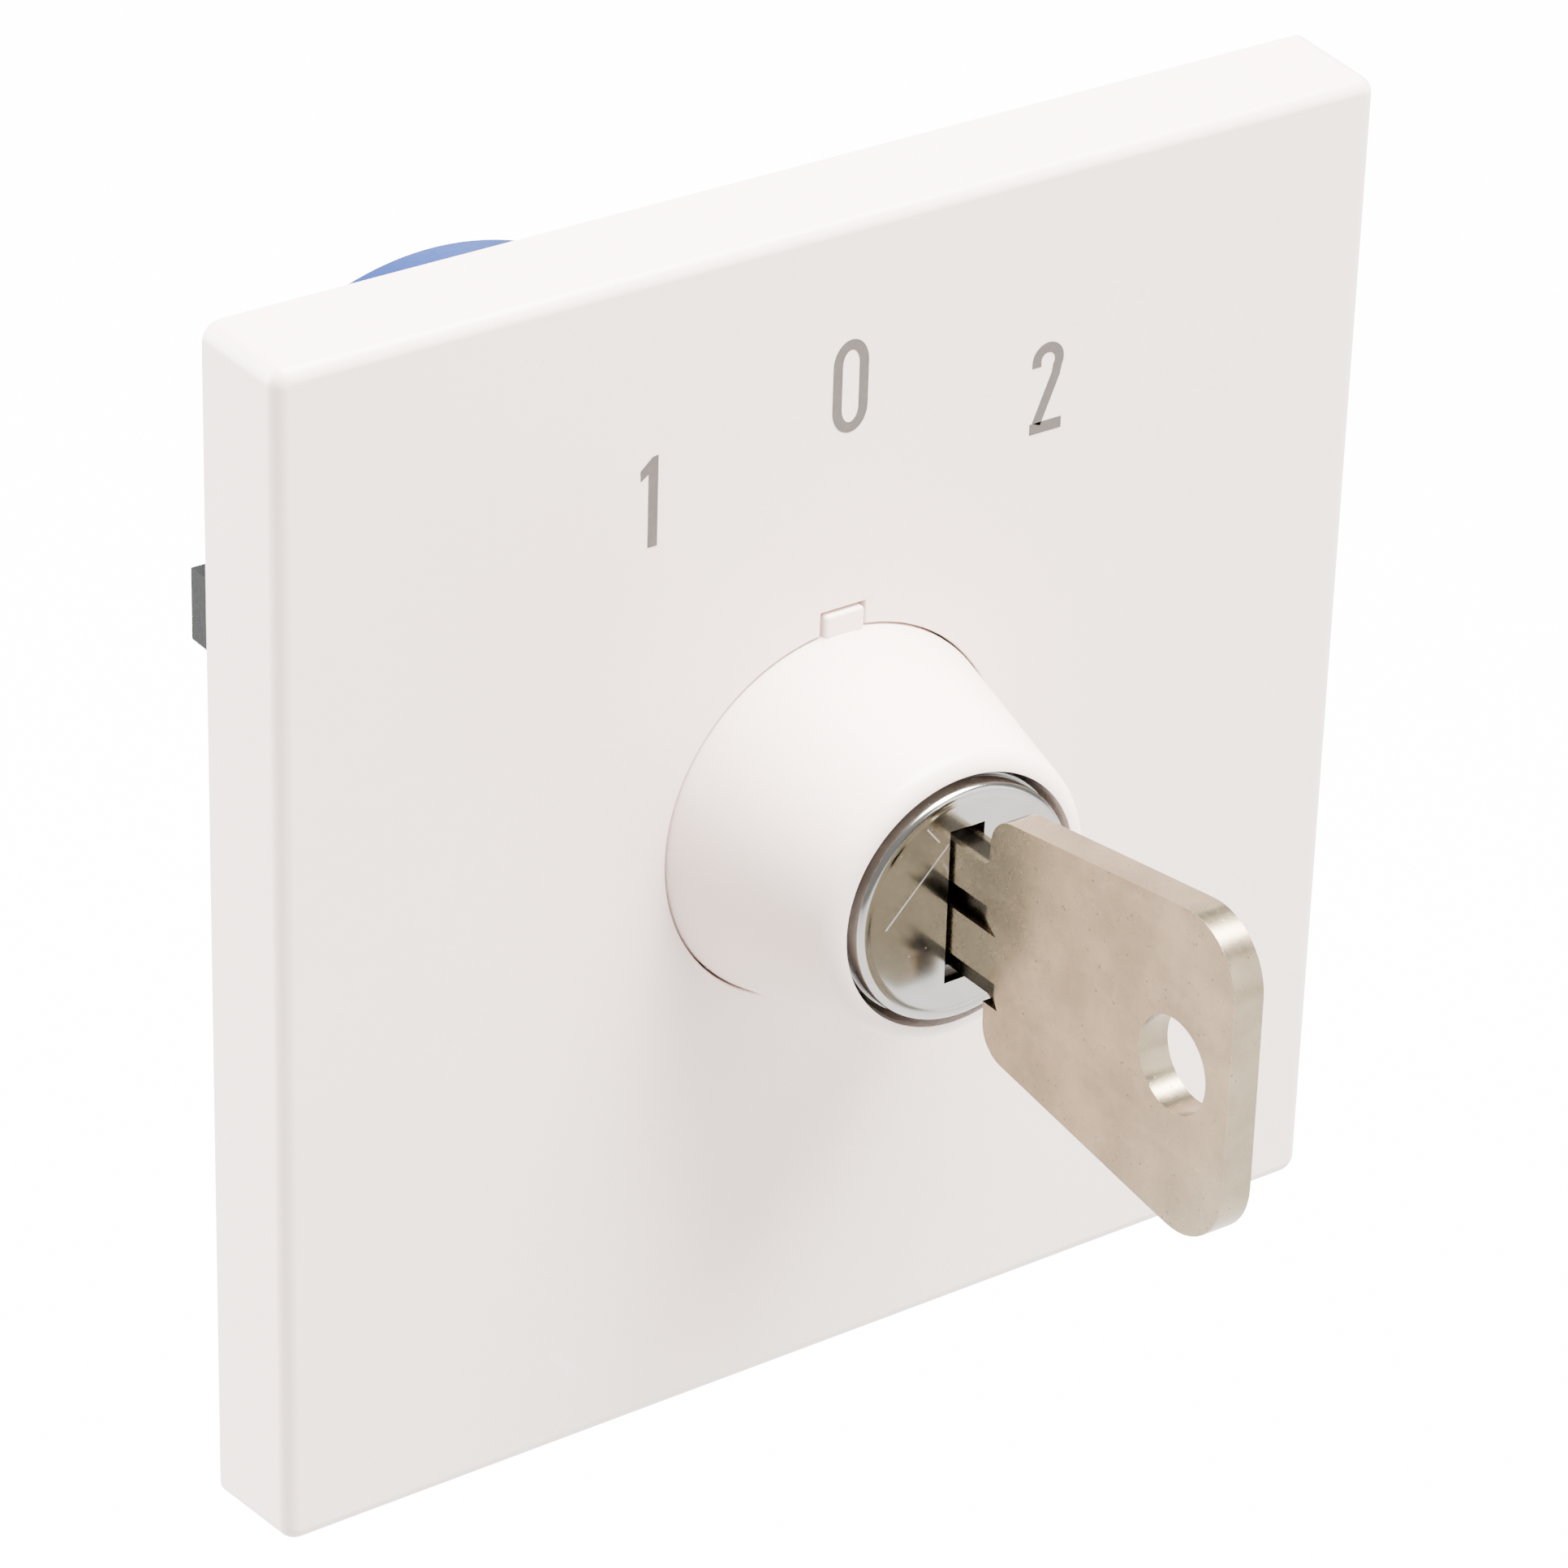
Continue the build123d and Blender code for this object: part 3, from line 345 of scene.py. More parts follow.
def white_plastic(colours):
    """Warm white moulded plastic: a soft sheen, slight mottling, dust and a few hairline scuffs."""
    finish = Finish("plate_white")
    base = tuple(colours.white)
    mottle = finish.noise(55.0, 3.0)
    grime_and_groove_shade = finish.noise(420.0, 4.0, 0.65).ramp(0.52, 0.8)
    specks = finish.cells(520.0).ramp(0.09, 0.05) * finish.noise(230.0).ramp(0.6, 0.72)
    scuffs = hairlines(finish, 0.7, 900.0, 0.06)
    tone = finish.mix(mottle.ramp(0.3, 0.7) * 0.6, base, shade(base, 0.975))
    tone = finish.mix(grime_and_groove_shade * 0.05 + specks * 0.25, tone, (0.52, 0.47, 0.41))
    tone = finish.mix(scuffs * 0.25, tone, (0.9, 0.9, 0.9))
    fine = finish.noise(2600.0, 2.0)
    wave = finish.noise(190.0, 1.0)
    finish.bump(fine * 0.25 + wave - scuffs * 0.7, 0.012, 0.45)
    rough = 0.25 + mottle * 0.06 + grime_and_groove_shade * 0.08 + scuffs * 0.2
    return finish.set(base_color=tone, roughness=rough)


def digit_ink(colours):
    """Pad-printed ink, a little thinner in places."""
    finish = Finish("digit_ink")
    thin = finish.noise(1500.0, 3.0).ramp(0.45, 0.75)
    tone = finish.mix(thin * 0.45, tuple(colours.ink), shade(colours.ink, 1.5))
    finish.bump(finish.noise(5200.0, 2.0), 0.006, 0.5)
    return finish.set(base_color=tone, roughness=0.42 + thin * 0.12)


def polished_plate(colours):
    """Polished plate on the lock's face: mirror-like, with fine rubbed scuffs and one long scratch."""
    finish = Finish("polished_chrome")
    scratch = finish.line((-1.4, 4.4), (-5.8, -0.1)).ramp(0.09, 0.02)
    small = finish.line((-3.0, 5.9), (-2.1, 4.8)).ramp(0.07, 0.02)
    scratch = scratch.larger(small)
    rubs = hairlines(finish, -0.78, 2100.0, 0.05) + hairlines(finish, 0.5, 2600.0, 0.06)
    haze = finish.noise(750.0, 4.0, 0.6)
    spots = finish.cells(1500.0).ramp(0.12, 0.07) * finish.noise(500.0).ramp(0.55, 0.68)
    tone = finish.mix(haze.ramp(0.4, 0.8) * 0.5, tuple(colours.chrome), shade(colours.chrome, 0.84))
    tone = finish.mix(scratch * 0.7 + rubs * 0.25, tone, (0.93, 0.93, 0.92))
    tone = finish.mix(spots * 0.5, tone, (0.32, 0.27, 0.2))
    finish.bump(haze * 0.15 - scratch - rubs * 0.3 - spots * 0.5, 0.02, 0.35)
    rough = 0.11 + haze * 0.1 + scratch * 0.3 + rubs * 0.22 + spots * 0.2
    return finish.set(base_color=tone, metallic=1.0, roughness=rough)


def nickel_silver(colours, worn_and_highlit=False):
    """Handled nickel silver: cloudy tarnish, fine speckle and rolled streaks; brighter on its worn chamfers,
    partly wear and partly a painted highlight, and with painted shade on its groove floors.
    """
    finish = Finish("key_worn_highlit_edge" if worn_and_highlit else "nickel_silver")
    # the chamfers' finish is the key colour made 2.9 times brighter: partly edge wear, partly a painted
    # highlight
    base = shade(colours.key, 2.9) if worn_and_highlit else tuple(colours.key)
    cloud = finish.noise(230.0, 4.0, 0.6)
    fine = finish.noise(1700.0, 4.0, 0.7)
    specks = finish.cells(1900.0).ramp(0.2, 0.08) * finish.noise(600.0, 2.0).ramp(0.45, 0.65)
    streaks = finish.noise(420.0, 2.0, 0.5, finish.stretched(1.0, 0.12, 1.6))
    tone = finish.mix(cloud.ramp(0.3, 0.75), shade(base, 0.84), shade(base, 1.16))
    tone = finish.mix(streaks.ramp(0.45, 0.8) * 0.35, tone, shade(base, 1.25))
    tone = finish.mix(specks * (0.3 if worn_and_highlit else 0.8), tone, shade(base, 0.34))
    scuffs = hairlines(finish, 0.25, 1500.0, 0.05) + hairlines(finish, 1.3, 1700.0, 0.06)
    tone = finish.mix(scuffs * 0.12, tone, shade(base, 1.8))
    if not worn_and_highlit:
        # painted shade: the milled grooves, whose floors lie nearer the key's middle plane, are darkened
        # nearly to black from their run-out inwards
        across, along, _ = finish.axes()
        groove_end = -(CAP_HIGH.z + GROOVE_RUNOUT) / MM
        grime_and_groove_shade = (across * across).ramp(0.6, 0.3) * along.ramp(groove_end - 0.1, groove_end + 0.3)
        tone = finish.mix(grime_and_groove_shade * 0.85, tone, (0.012, 0.01, 0.008))
    finish.bump(fine * 0.5 + cloud * 0.4 - specks * 0.8, 0.022, 0.4)
    rough = (0.18 if worn_and_highlit else 0.2) + fine * 0.12 + specks * 0.15
    return finish.set(base_color=tone, metallic=1.0, roughness=rough)


def satin_plastic(name, base, grain=2400.0, depth=0.02, rough=0.42):
    """Moulded technical plastic with a fine spark-eroded grain, flow mottling and a little dust."""
    finish = Finish(name)
    flow = finish.noise(90.0, 3.0)
    fine = finish.noise(grain, 3.0, 0.6)
    dust = finish.noise(700.0, 5.0, 0.7).ramp(0.55, 0.85)
    tone = finish.mix(flow.ramp(0.3, 0.7), shade(base, 0.86), shade(base, 1.16))
    tone = finish.mix(dust * 0.3, tone, shade(base, 2.0))
    finish.bump(fine + flow * 0.5, depth, 0.6)
    finish.shader.inputs["Specular IOR Level"].default_value = 0.14
    return finish.set(base_color=tone, roughness=rough + fine * 0.16 + dust * 0.12)


def zinc_plate(name, base, rough=0.3):
    """Zinc-plated steel: small spangles, a rolled grain and dull patches."""
    finish = Finish(name)
    spangle = finish.cells(420.0, "Color")
    flake = finish.node("ShaderNodeSeparateColor", None, {0: spangle})
    grain = finish.noise(900.0, 3.0, 0.6, finish.stretched(0.08, 1.0, 1.0))
    dull = finish.noise(70.0, 4.0, 0.6).ramp(0.42, 0.7)
    tone = finish.mix(flake * 0.6 + grain * 0.4, shade(base, 0.8), shade(base, 1.2))
    tone = finish.mix(dull * 0.3, tone, shade(base, 0.72))
    scuffs = hairlines(finish, 0.4, 700.0, 0.05)
    finish.bump(grain * 0.5 + flake * 0.2 - scuffs, 0.02, 0.4)
    return finish.set(base_color=tone, metallic=1.0, roughness=rough + flake * 0.1 + dull * 0.14)


def turned_metal(name, base, rough=0.3, rings=0.35):
    """Machined metal with fine turned rings about the switch's axis and some tarnish."""
    finish = Finish(name)
    across, _, up = finish.axes()
    radius = (across * across + up * up).root()
    groove = (radius * (2 * pi / rings)).step("SINE", radius * (2 * pi / rings))
    tarnish = finish.noise(320.0, 4.0, 0.6)
    tone = finish.mix(tarnish.ramp(0.35, 0.75), shade(base, 1.12), shade(base, 0.78))
    finish.bump(groove * 0.5 + tarnish * 0.5, 0.01, 0.4)
    return finish.set(base_color=tone, metallic=1.0, roughness=rough + tarnish * 0.16)


# ---------------------------------------------------------------- mesh helpers
def add_points(bm, points):
    """Adds a vertex at each point."""
    return [bm.verts.new(point) for point in points]


def soften(bm, edges, radius, segments=4, material=-1):
    """Rounds edges."""
    bmesh.ops.bevel(
        bm,
        geom=list(edges),
        offset=radius,
        offset_type="OFFSET",
        segments=segments,
        profile=0.5,
        affect="EDGES",
        clamp_overlap=True,
        material=material,
    )


def rounded_outline(corners, segments=8):
    """Points round an outline given as (x, y, radius) corners, with an arc at each rounded corner."""
    points = []
    for index, (x, y, radius) in enumerate(corners):
        here = Vector((x, y))
        if not radius:
            points.append(here)
            continue
        back = (Vector(corners[index - 1][:2]) - here).normalized()
        ahead = (Vector(corners[(index + 1) % len(corners)][:2]) - here).normalized()
        half = acos(max(-1.0, min(1.0, back.dot(ahead)))) / 2
        centre = here + (back + ahead).normalized() * (radius / sin(half))
        first = here + back * (radius / tan(half)) - centre
        last = here + ahead * (radius / tan(half)) - centre
        sweep = first.angle_signed(last)
        for step in range(segments + 1):
            turn = Matrix.Rotation(-sweep * step / segments, 2)
            points.append(centre + turn @ first)
    return points


def slab(outline, low, high):
    """A plate of an outline between two heights."""
    bm = bmesh.new()
    face = bm.faces.new(add_points(bm, ((x, y, low) for x, y in outline)))
    made = bmesh.ops.extrude_face_region(bm, geom=[face])
    tops = [item for item in made["geom"] if isinstance(item, bmesh.types.BMVert)]
    bmesh.ops.translate(bm, verts=tops, vec=(0, 0, high - low))
    bmesh.ops.recalc_face_normals(bm, faces=bm.faces)
    return bm


def block(low, high):
    """A box between two corners."""
    bm = bmesh.new()
    bmesh.ops.create_cube(bm, size=1.0)
    low, high = Vector(low), Vector(high)
    bmesh.ops.scale(bm, vec=high - low, verts=bm.verts)
    bmesh.ops.translate(bm, vec=(low + high) / 2, verts=bm.verts)
    return bm


def rod(radius, low, high, segments=96, centre=(0.0, 0.0)):
    """A round bar between two heights."""
    bm = bmesh.new()
    bmesh.ops.create_cone(
        bm, cap_ends=True, cap_tris=False, segments=segments, radius1=radius, radius2=radius, depth=high - low
    )
    bmesh.ops.translate(bm, vec=(*centre, (low + high) / 2), verts=bm.verts)
    return bm


def turned(profile, steps=128):
    """A ring turned from a closed profile of (radius, height) points."""
    bm = bmesh.new()
    verts = add_points(bm, ((radius, 0.0, height) for radius, height in profile))
    edges = [bm.edges.new((verts[i - 1], verts[i])) for i in range(len(verts))]
    bmesh.ops.spin(
        bm, geom=verts + edges, cent=(0, 0, 0), axis=(0, 0, 1), angle=2 * pi, steps=steps, use_merge=True
    )
    bmesh.ops.recalc_face_normals(bm, faces=bm.faces)
    return bm


def ring_edges(bm, radius, height):
    """The edges of the circle at a radius and height."""
    near = 1e-6
    return [
        edge
        for edge in bm.edges
        if all(abs(v.co.z - height) < near and abs(v.co.xy.length - radius) < near for v in edge.verts)
    ]


def work_object(bm, name):
    """A plain object that holds a bmesh."""
    mesh = bpy.data.meshes.new(name)
    bm.to_mesh(mesh)
    bm.free()
    piece = bpy.data.objects.new(name, mesh)
    bpy.context.scene.collection.objects.link(piece)
    return piece


def carve(bm, tool, operation="DIFFERENCE"):
    """Cuts a tool out of a shape, or joins it on, and returns the new shape."""
    shape_object, tool_object = work_object(bm, "shape"), work_object(tool, "tool")
    modifier = shape_object.modifiers.new("carve", "BOOLEAN")
    modifier.operation = operation
    modifier.solver = "EXACT"
    modifier.object = tool_object
    result = bpy.data.meshes.new_from_object(
        shape_object.evaluated_get(bpy.context.evaluated_depsgraph_get())
    )
    carved = bmesh.new()
    carved.from_mesh(result)
    bmesh.ops.remove_doubles(carved, verts=carved.verts, dist=1e-7)
    for item in (shape_object, tool_object):
        mesh = item.data
        bpy.data.objects.remove(item)
        bpy.data.meshes.remove(mesh)
    bpy.data.meshes.remove(result)
    return carved


def place_piece(name, bm, body, materials, replaces=(), tip=TIP_ONTO_WALL, crease=35.0):
    """Stands a shape on the wall and makes it a finished piece of the switch."""
    bm.transform(tip)
    for face in bm.faces:
        face.smooth = True
    for edge in bm.edges:
        edge.smooth = len(edge.link_faces) == 2 and edge.calc_face_angle() < radians(crease)
    piece = work_object(bm, name)
    for material in materials:
        piece.data.materials.append(material)
    weigh = piece.modifiers.new("weigh_normals", "WEIGHTED_NORMAL")
    weigh.keep_sharp = True
    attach(piece, body)
    if replaces:
        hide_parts(*replaces)
    return piece


def rounded_copy(node, body, slot, radius, crease=40.0):
    """A copy of a CAD node with its sharp edges rounded, in the finish named like its slot."""
    bm = bmesh.new()
    bm.from_mesh(frame["nodes"][node].data)
    bmesh.ops.remove_doubles(bm, verts=bm.verts, dist=1e-6)
    bmesh.ops.dissolve_limit(bm, angle_limit=radians(0.5), verts=bm.verts, edges=bm.edges)
    sharp = [
        edge for edge in bm.edges if len(edge.link_faces) == 2 and edge.calc_face_angle() > radians(crease)
    ]
    soften(bm, sharp, radius, 2)
    material = finish_named(slot)
    return place_piece(node + "_rounded", bm, body, [material], (node,), Matrix.Identity(4))


def dress(material, *nodes):
    """Gives carried-over CAD nodes a finish."""
    for node in nodes:
        for slot in frame["nodes"][node].material_slots:
            slot.material = material


# ---------------------------------------------------------------- operators
class BuildOperator(bpy.types.Operator):
    """Shared settings of the operators that build the switch."""

    bl_options = {"REGISTER", "UNDO"}


class KEYSWITCH_OT_plate(BuildOperator):
    """Build the cover plate: a drafted tray with rounded edges, the collar's hole, a notch and snap pegs"""

    bl_idname = "keyswitch.plate"
    bl_label = "Cover Plate"

    HOLE_ROUND = 0.12 * MM  # round the hole and its notch
    PEG_SIDES = 40
    PEG_SINK = 0.2 * MM  # how far a peg is sunk into the plate's back
    BARB_FROM_TAIL = 1.0 * MM
    BARB_END = -0.2 * MM
    HALF_SLIT = 0.4 * MM
    SLIT_REACH = 4.0 * MM
    SLIT_END = 3.0 * MM

    def execute(self, context):
        sizes = context.scene.keyswitch_plate
        half, front = PLATE_HIGH.x, PLATE_HIGH.z
        bm = block((-half, -half, 0), (half, half, front))
        upright = [edge for edge in bm.edges if abs(edge.verts[0].co.z - edge.verts[1].co.z) > front / 2]
        soften(bm, upright, sizes.corner, 6)
        tops = [vert for vert in bm.verts if vert.co.z > front / 2]
        lean = (half - sizes.draft) / half
        bmesh.ops.scale(bm, vec=(lean, lean, 1), verts=tops)
        top_face = max(bm.faces, key=lambda face: face.calc_center_median().z)
        soften(bm, top_face.edges, sizes.edge, 10)
        inner = half - sizes.wall
        back_wall = front - sizes.wall
        cavity = block((-inner, -inner, -MM), (inner, inner, back_wall))
        corners = [edge for edge in cavity.edges if abs(edge.verts[0].co.z - edge.verts[1].co.z) > MM]
        soften(cavity, corners, sizes.corner / 2, 4)
        bm = carve(bm, cavity)
        for right in (-1, 1):
            for up in (-1, 1):
                centre = (right * sizes.peg_spread / 2, up * sizes.peg_spread / 2)
                bm = carve(bm, self.peg(sizes, centre, back_wall), "UNION")
        bm = carve(bm, rod(sizes.hole, back_wall - MM, front + MM, 160))
        notch = ((-sizes.notch_left, 0, back_wall - MM), (sizes.notch_right, sizes.notch_top, front + MM))
        bm = carve(bm, block(*notch))
        rims = [
            edge
            for edge in bm.edges
            if all(abs(v.co.z - front) < 1e-6 and v.co.xy.length < sizes.notch_top + MM for v in edge.verts)
            and edge.calc_face_angle(0) > 1.0
        ]
        soften(bm, rims, self.HOLE_ROUND, 3)
        material = finish_named("plate_white")
        place_piece("plate_shell", bm, "switch_base", [material], ("cover_plate",))
        return {"FINISHED"}

    def peg(self, sizes, centre, back_wall):
        """A split snap peg with a barb behind the support frame."""
        tail = PLATE_LOW.z
        barb_low, barb_high = tail + self.BARB_FROM_TAIL, self.BARB_END
        bm = rod(sizes.peg, tail, back_wall + self.PEG_SINK, self.PEG_SIDES)
        cone = bmesh.new()
        bmesh.ops.create_cone(
            cone,
            cap_ends=True,
            segments=self.PEG_SIDES,
            radius1=sizes.peg,
            radius2=sizes.peg + sizes.peg_barb,
            depth=barb_high - barb_low,
        )
        bmesh.ops.translate(cone, vec=(0, 0, (barb_low + barb_high) / 2), verts=cone.verts)
        bm = carve(bm, cone, "UNION")
        low = (-self.HALF_SLIT, -self.SLIT_REACH, tail - MM)
        bm = carve(bm, block(low, (self.HALF_SLIT, self.SLIT_REACH, self.SLIT_END)))
        bmesh.ops.translate(bm, vec=(*centre, 0), verts=bm.verts)
        return bm


class KEYSWITCH_OT_digits(BuildOperator):
    """Print the digits 1, 0 and 2 round the collar, as thin ink on the plate"""

    bl_idname = "keyswitch.digits"
    bl_label = "Digits"

    def execute(self, context):
        sizes = context.scene.keyswitch_plate
        for digit, degrees_left, aside in (("0", 0.0, 0.1), ("1", 30.0, 0.2), ("2", -30.0, 0.5)):
            turn = radians(degrees_left)
            centre = Vector((-sin(turn), cos(turn))) * sizes.digit_circle
            centre.x += aside * MM
            bm = getattr(self, "digit_" + digit)(sizes)
            front = PLATE_HIGH.z
            made = bmesh.ops.extrude_face_region(bm, geom=list(bm.faces))
            tops = [item for item in made["geom"] if isinstance(item, bmesh.types.BMVert)]
            bmesh.ops.translate(bm, vec=(0, 0, sizes.ink), verts=tops)
            bmesh.ops.translate(bm, vec=(*centre, front), verts=bm.verts)
            bmesh.ops.recalc_face_normals(bm, faces=bm.faces)
            material = finish_named("digit_ink")
            place_piece("digit_" + digit, bm, "switch_base", [material])
        return {"FINISHED"}

    def ribbon(self, path, width, closed=False):
        """A flat stroke of a width along a path of points."""
        bm = bmesh.new()
        count = len(path)
        pairs = []
        for index, point in enumerate(path):
            before = path[index - 1] if index or closed else point
            after = path[(index + 1) % count] if index < count - 1 or closed else point
            along = (after - before).normalized()
            side = Vector((-along.y, along.x)) * width / 2
            pairs.append(add_points(bm, ((*(point + side), 0), (*(point - side), 0))))
        for index in range(count if closed else count - 1):
            (a, b), (c, d) = pairs[index], pairs[(index + 1) % count]
            bm.faces.new((a, b, d, c))
        return bm

    def digit_0(self, sizes):
        """An upright ring with tall oval ends."""
        half_width, half_height = 0.95 * MM, sizes.digit_height / 2 - sizes.digit_stroke / 2
        oval = 1.3 * MM
        path = []
        steps = 24
        for end in (1, -1):
            for step in range(steps + 1):
                turn = pi * step / steps
                path.append(
                    Vector((end * half_width * cos(turn), end * (half_height - oval + oval * sin(turn))))
                )
        return self.ribbon(path, sizes.digit_stroke, closed=True)

    def digit_1(self, sizes):
        """A stem with a short slanting flag."""
        half, stroke = sizes.digit_height / 2 - 0.08 * MM, sizes.digit_stroke
        right = 0.55 * MM
        outline = (
            (right, -half),
            (right, half),
            (right - 0.42 * MM, half - 0.06 * MM),
            (right - 1.26 * MM, half - 0.8 * MM),
            (right - 1.24 * MM, half - 1.5 * MM),
            (right - stroke, half - 1.12 * MM),
            (right - stroke, -half),
        )
        bm = bmesh.new()
        bm.faces.new(add_points(bm, ((x, y, 0) for x, y in reversed(outline))))
        return bm

    def digit_2(self, sizes):
        """A hooked top, a slanting stem and a flat foot."""
        half, stroke = sizes.digit_height / 2 - 0.05 * MM, sizes.digit_stroke
        hook = 0.85 * MM
        top = half - stroke / 2 - hook
        path = [Vector((-hook, top - 0.35 * MM)), Vector((-hook, top - 0.1 * MM))]
        steps = 20
        for step in range(steps + 1):
            turn = pi - pi * step / steps * 1.16
            path.append(Vector((hook * cos(turn), top + hook * sin(turn))))
        foot = -half + stroke / 2
        path += [Vector((0.62 * MM, top - 1.05 * MM)), Vector((-0.72 * MM, foot + 0.3 * MM))]
        bm = self.ribbon(path, stroke)
        low = -half
        left, right = -1.2 * MM, 1.2 * MM
        foot_points = (
            (left, low),
            (right, low),
            (right, low + 0.76 * MM),
            (left + 0.8 * MM, low + 0.76 * MM),
            (left, low + 0.74 * MM),
        )
        bm.faces.new(add_points(bm, ((x, y, 0) for x, y in foot_points)))
        for face in bm.faces:
            if face.normal.z < 0:
                face.normal_flip()
        return bm


class KEYSWITCH_OT_collar(BuildOperator):
    """Build the conical collar with its rounded rim, flange, counterbore, screw holes and locating tab"""

    bl_idname = "keyswitch.collar"
    bl_label = "Collar"

    BORE_ROUND = 0.16 * MM
    FLANGE_ROUND = 0.3 * MM
    TAB_ROUND = 0.25 * MM
    TAB_ROOT = 1.6 * MM  # how far the tab is sunk into the cone, and below into the flange
    TAB_SINK = 0.5 * MM
    SCREW_HOLE = 1.5 * MM

    def execute(self, context):
        sizes = context.scene.keyswitch_collar
        back, rim, front = COLLAR_LOW.z, COLLAR_HIGH.z, PLATE_HIGH.z
        flange_front = back + sizes.flange
        flange_radius = COLLAR_HIGH.x
        bm = turned(
            (
                (sizes.bore, sizes.step),
                (sizes.bore, rim),
                (sizes.rim, rim),
                (sizes.base, front),
                (sizes.base, flange_front),
                (flange_radius, flange_front),
                (flange_radius, back),
                (sizes.counterbore, back),
                (sizes.counterbore, sizes.step),
            ),
            144,
        )
        soften(bm, ring_edges(bm, sizes.rim, rim), sizes.rim_round, 10)
        soften(bm, ring_edges(bm, sizes.bore, rim), self.BORE_ROUND, 4)
        soften(bm, ring_edges(bm, flange_radius, flange_front), self.FLANGE_ROUND, 3)
        left = sizes.tab_offset - sizes.tab_width / 2
        tab = block(
            (left, sizes.base - self.TAB_ROOT, flange_front - self.TAB_SINK),
            (left + sizes.tab_width, sizes.tab_top, front + sizes.tab_proud),
        )
        outer = [
            edge
            for edge in tab.edges
            if all(vert.co.z > front or vert.co.y > sizes.base for vert in edge.verts)
        ]
        soften(tab, outer, self.TAB_ROUND, 4)
        bm = carve(bm, tab, "UNION")
        for side in (-1, 1):
            centre = (side * sizes.screw_spread / 2, 0.0)
            bm = carve(bm, rod(self.SCREW_HOLE, back - MM, flange_front + MM, 40, centre))
        material = finish_named("plate_white")
        place_piece("collar_cone", bm, "switch_base", [material], ("lock_collar",))
        return {"FINISHED"}


class KEYSWITCH_OT_lock_face(BuildOperator):
    """Build the polished cap of the lock, with a rolled rim, a dished face and the key's slot"""

    bl_idname = "keyswitch.lock_face"
    bl_label = "Lock Face"

    LIP_ROUND = 0.06 * MM  # along the slot's edges
    DISH_STEP = 0.25 * MM  # the dish falls in two steps this wide

    def execute(self, context):
        sizes = context.scene.keyswitch_lock
        radius = CAP_HIGH.x - sizes.set_in
        back, face_height = CAP_LOW.z, CAP_HIGH.z
        bm = rod(radius, back, face_height, 160)
        soften(bm, ring_edges(bm, radius, face_height), sizes.rolled_rim, 8)
        face = max(bm.faces, key=lambda item: item.calc_center_median().z)
        rim_width = sizes.dish_edge - sizes.rolled_rim
        for inset, drop in ((rim_width, 0.0), (self.DISH_STEP, 0.4), (self.DISH_STEP, 0.6)):
            bmesh.ops.inset_region(bm, faces=[face], thickness=inset, use_even_offset=True)
            bmesh.ops.translate(bm, vec=(0, 0, -drop * sizes.dish_depth), verts=face.verts)
        half_width, half_height = sizes.slot_width / 2, sizes.slot_height / 2
        slot = block(
            (-half_width, -half_height, back - MM), (half_width, half_height, face_height + MM)
        )
        bm = carve(bm, slot)
        lips = [
            edge
            for edge in bm.edges
            if all(v.co.z > back + 0.5 * MM and abs(v.co.x) < half_width + 1e-6 for v in edge.verts)
            and edge.calc_face_angle(0) > 1.2
        ]
        soften(bm, lips, self.LIP_ROUND, 2)
        material = finish_named("polished_chrome")
        place_piece("lock_face", bm, "rotor", [material], ("plug_face_cap",))
        return {"FINISHED"}


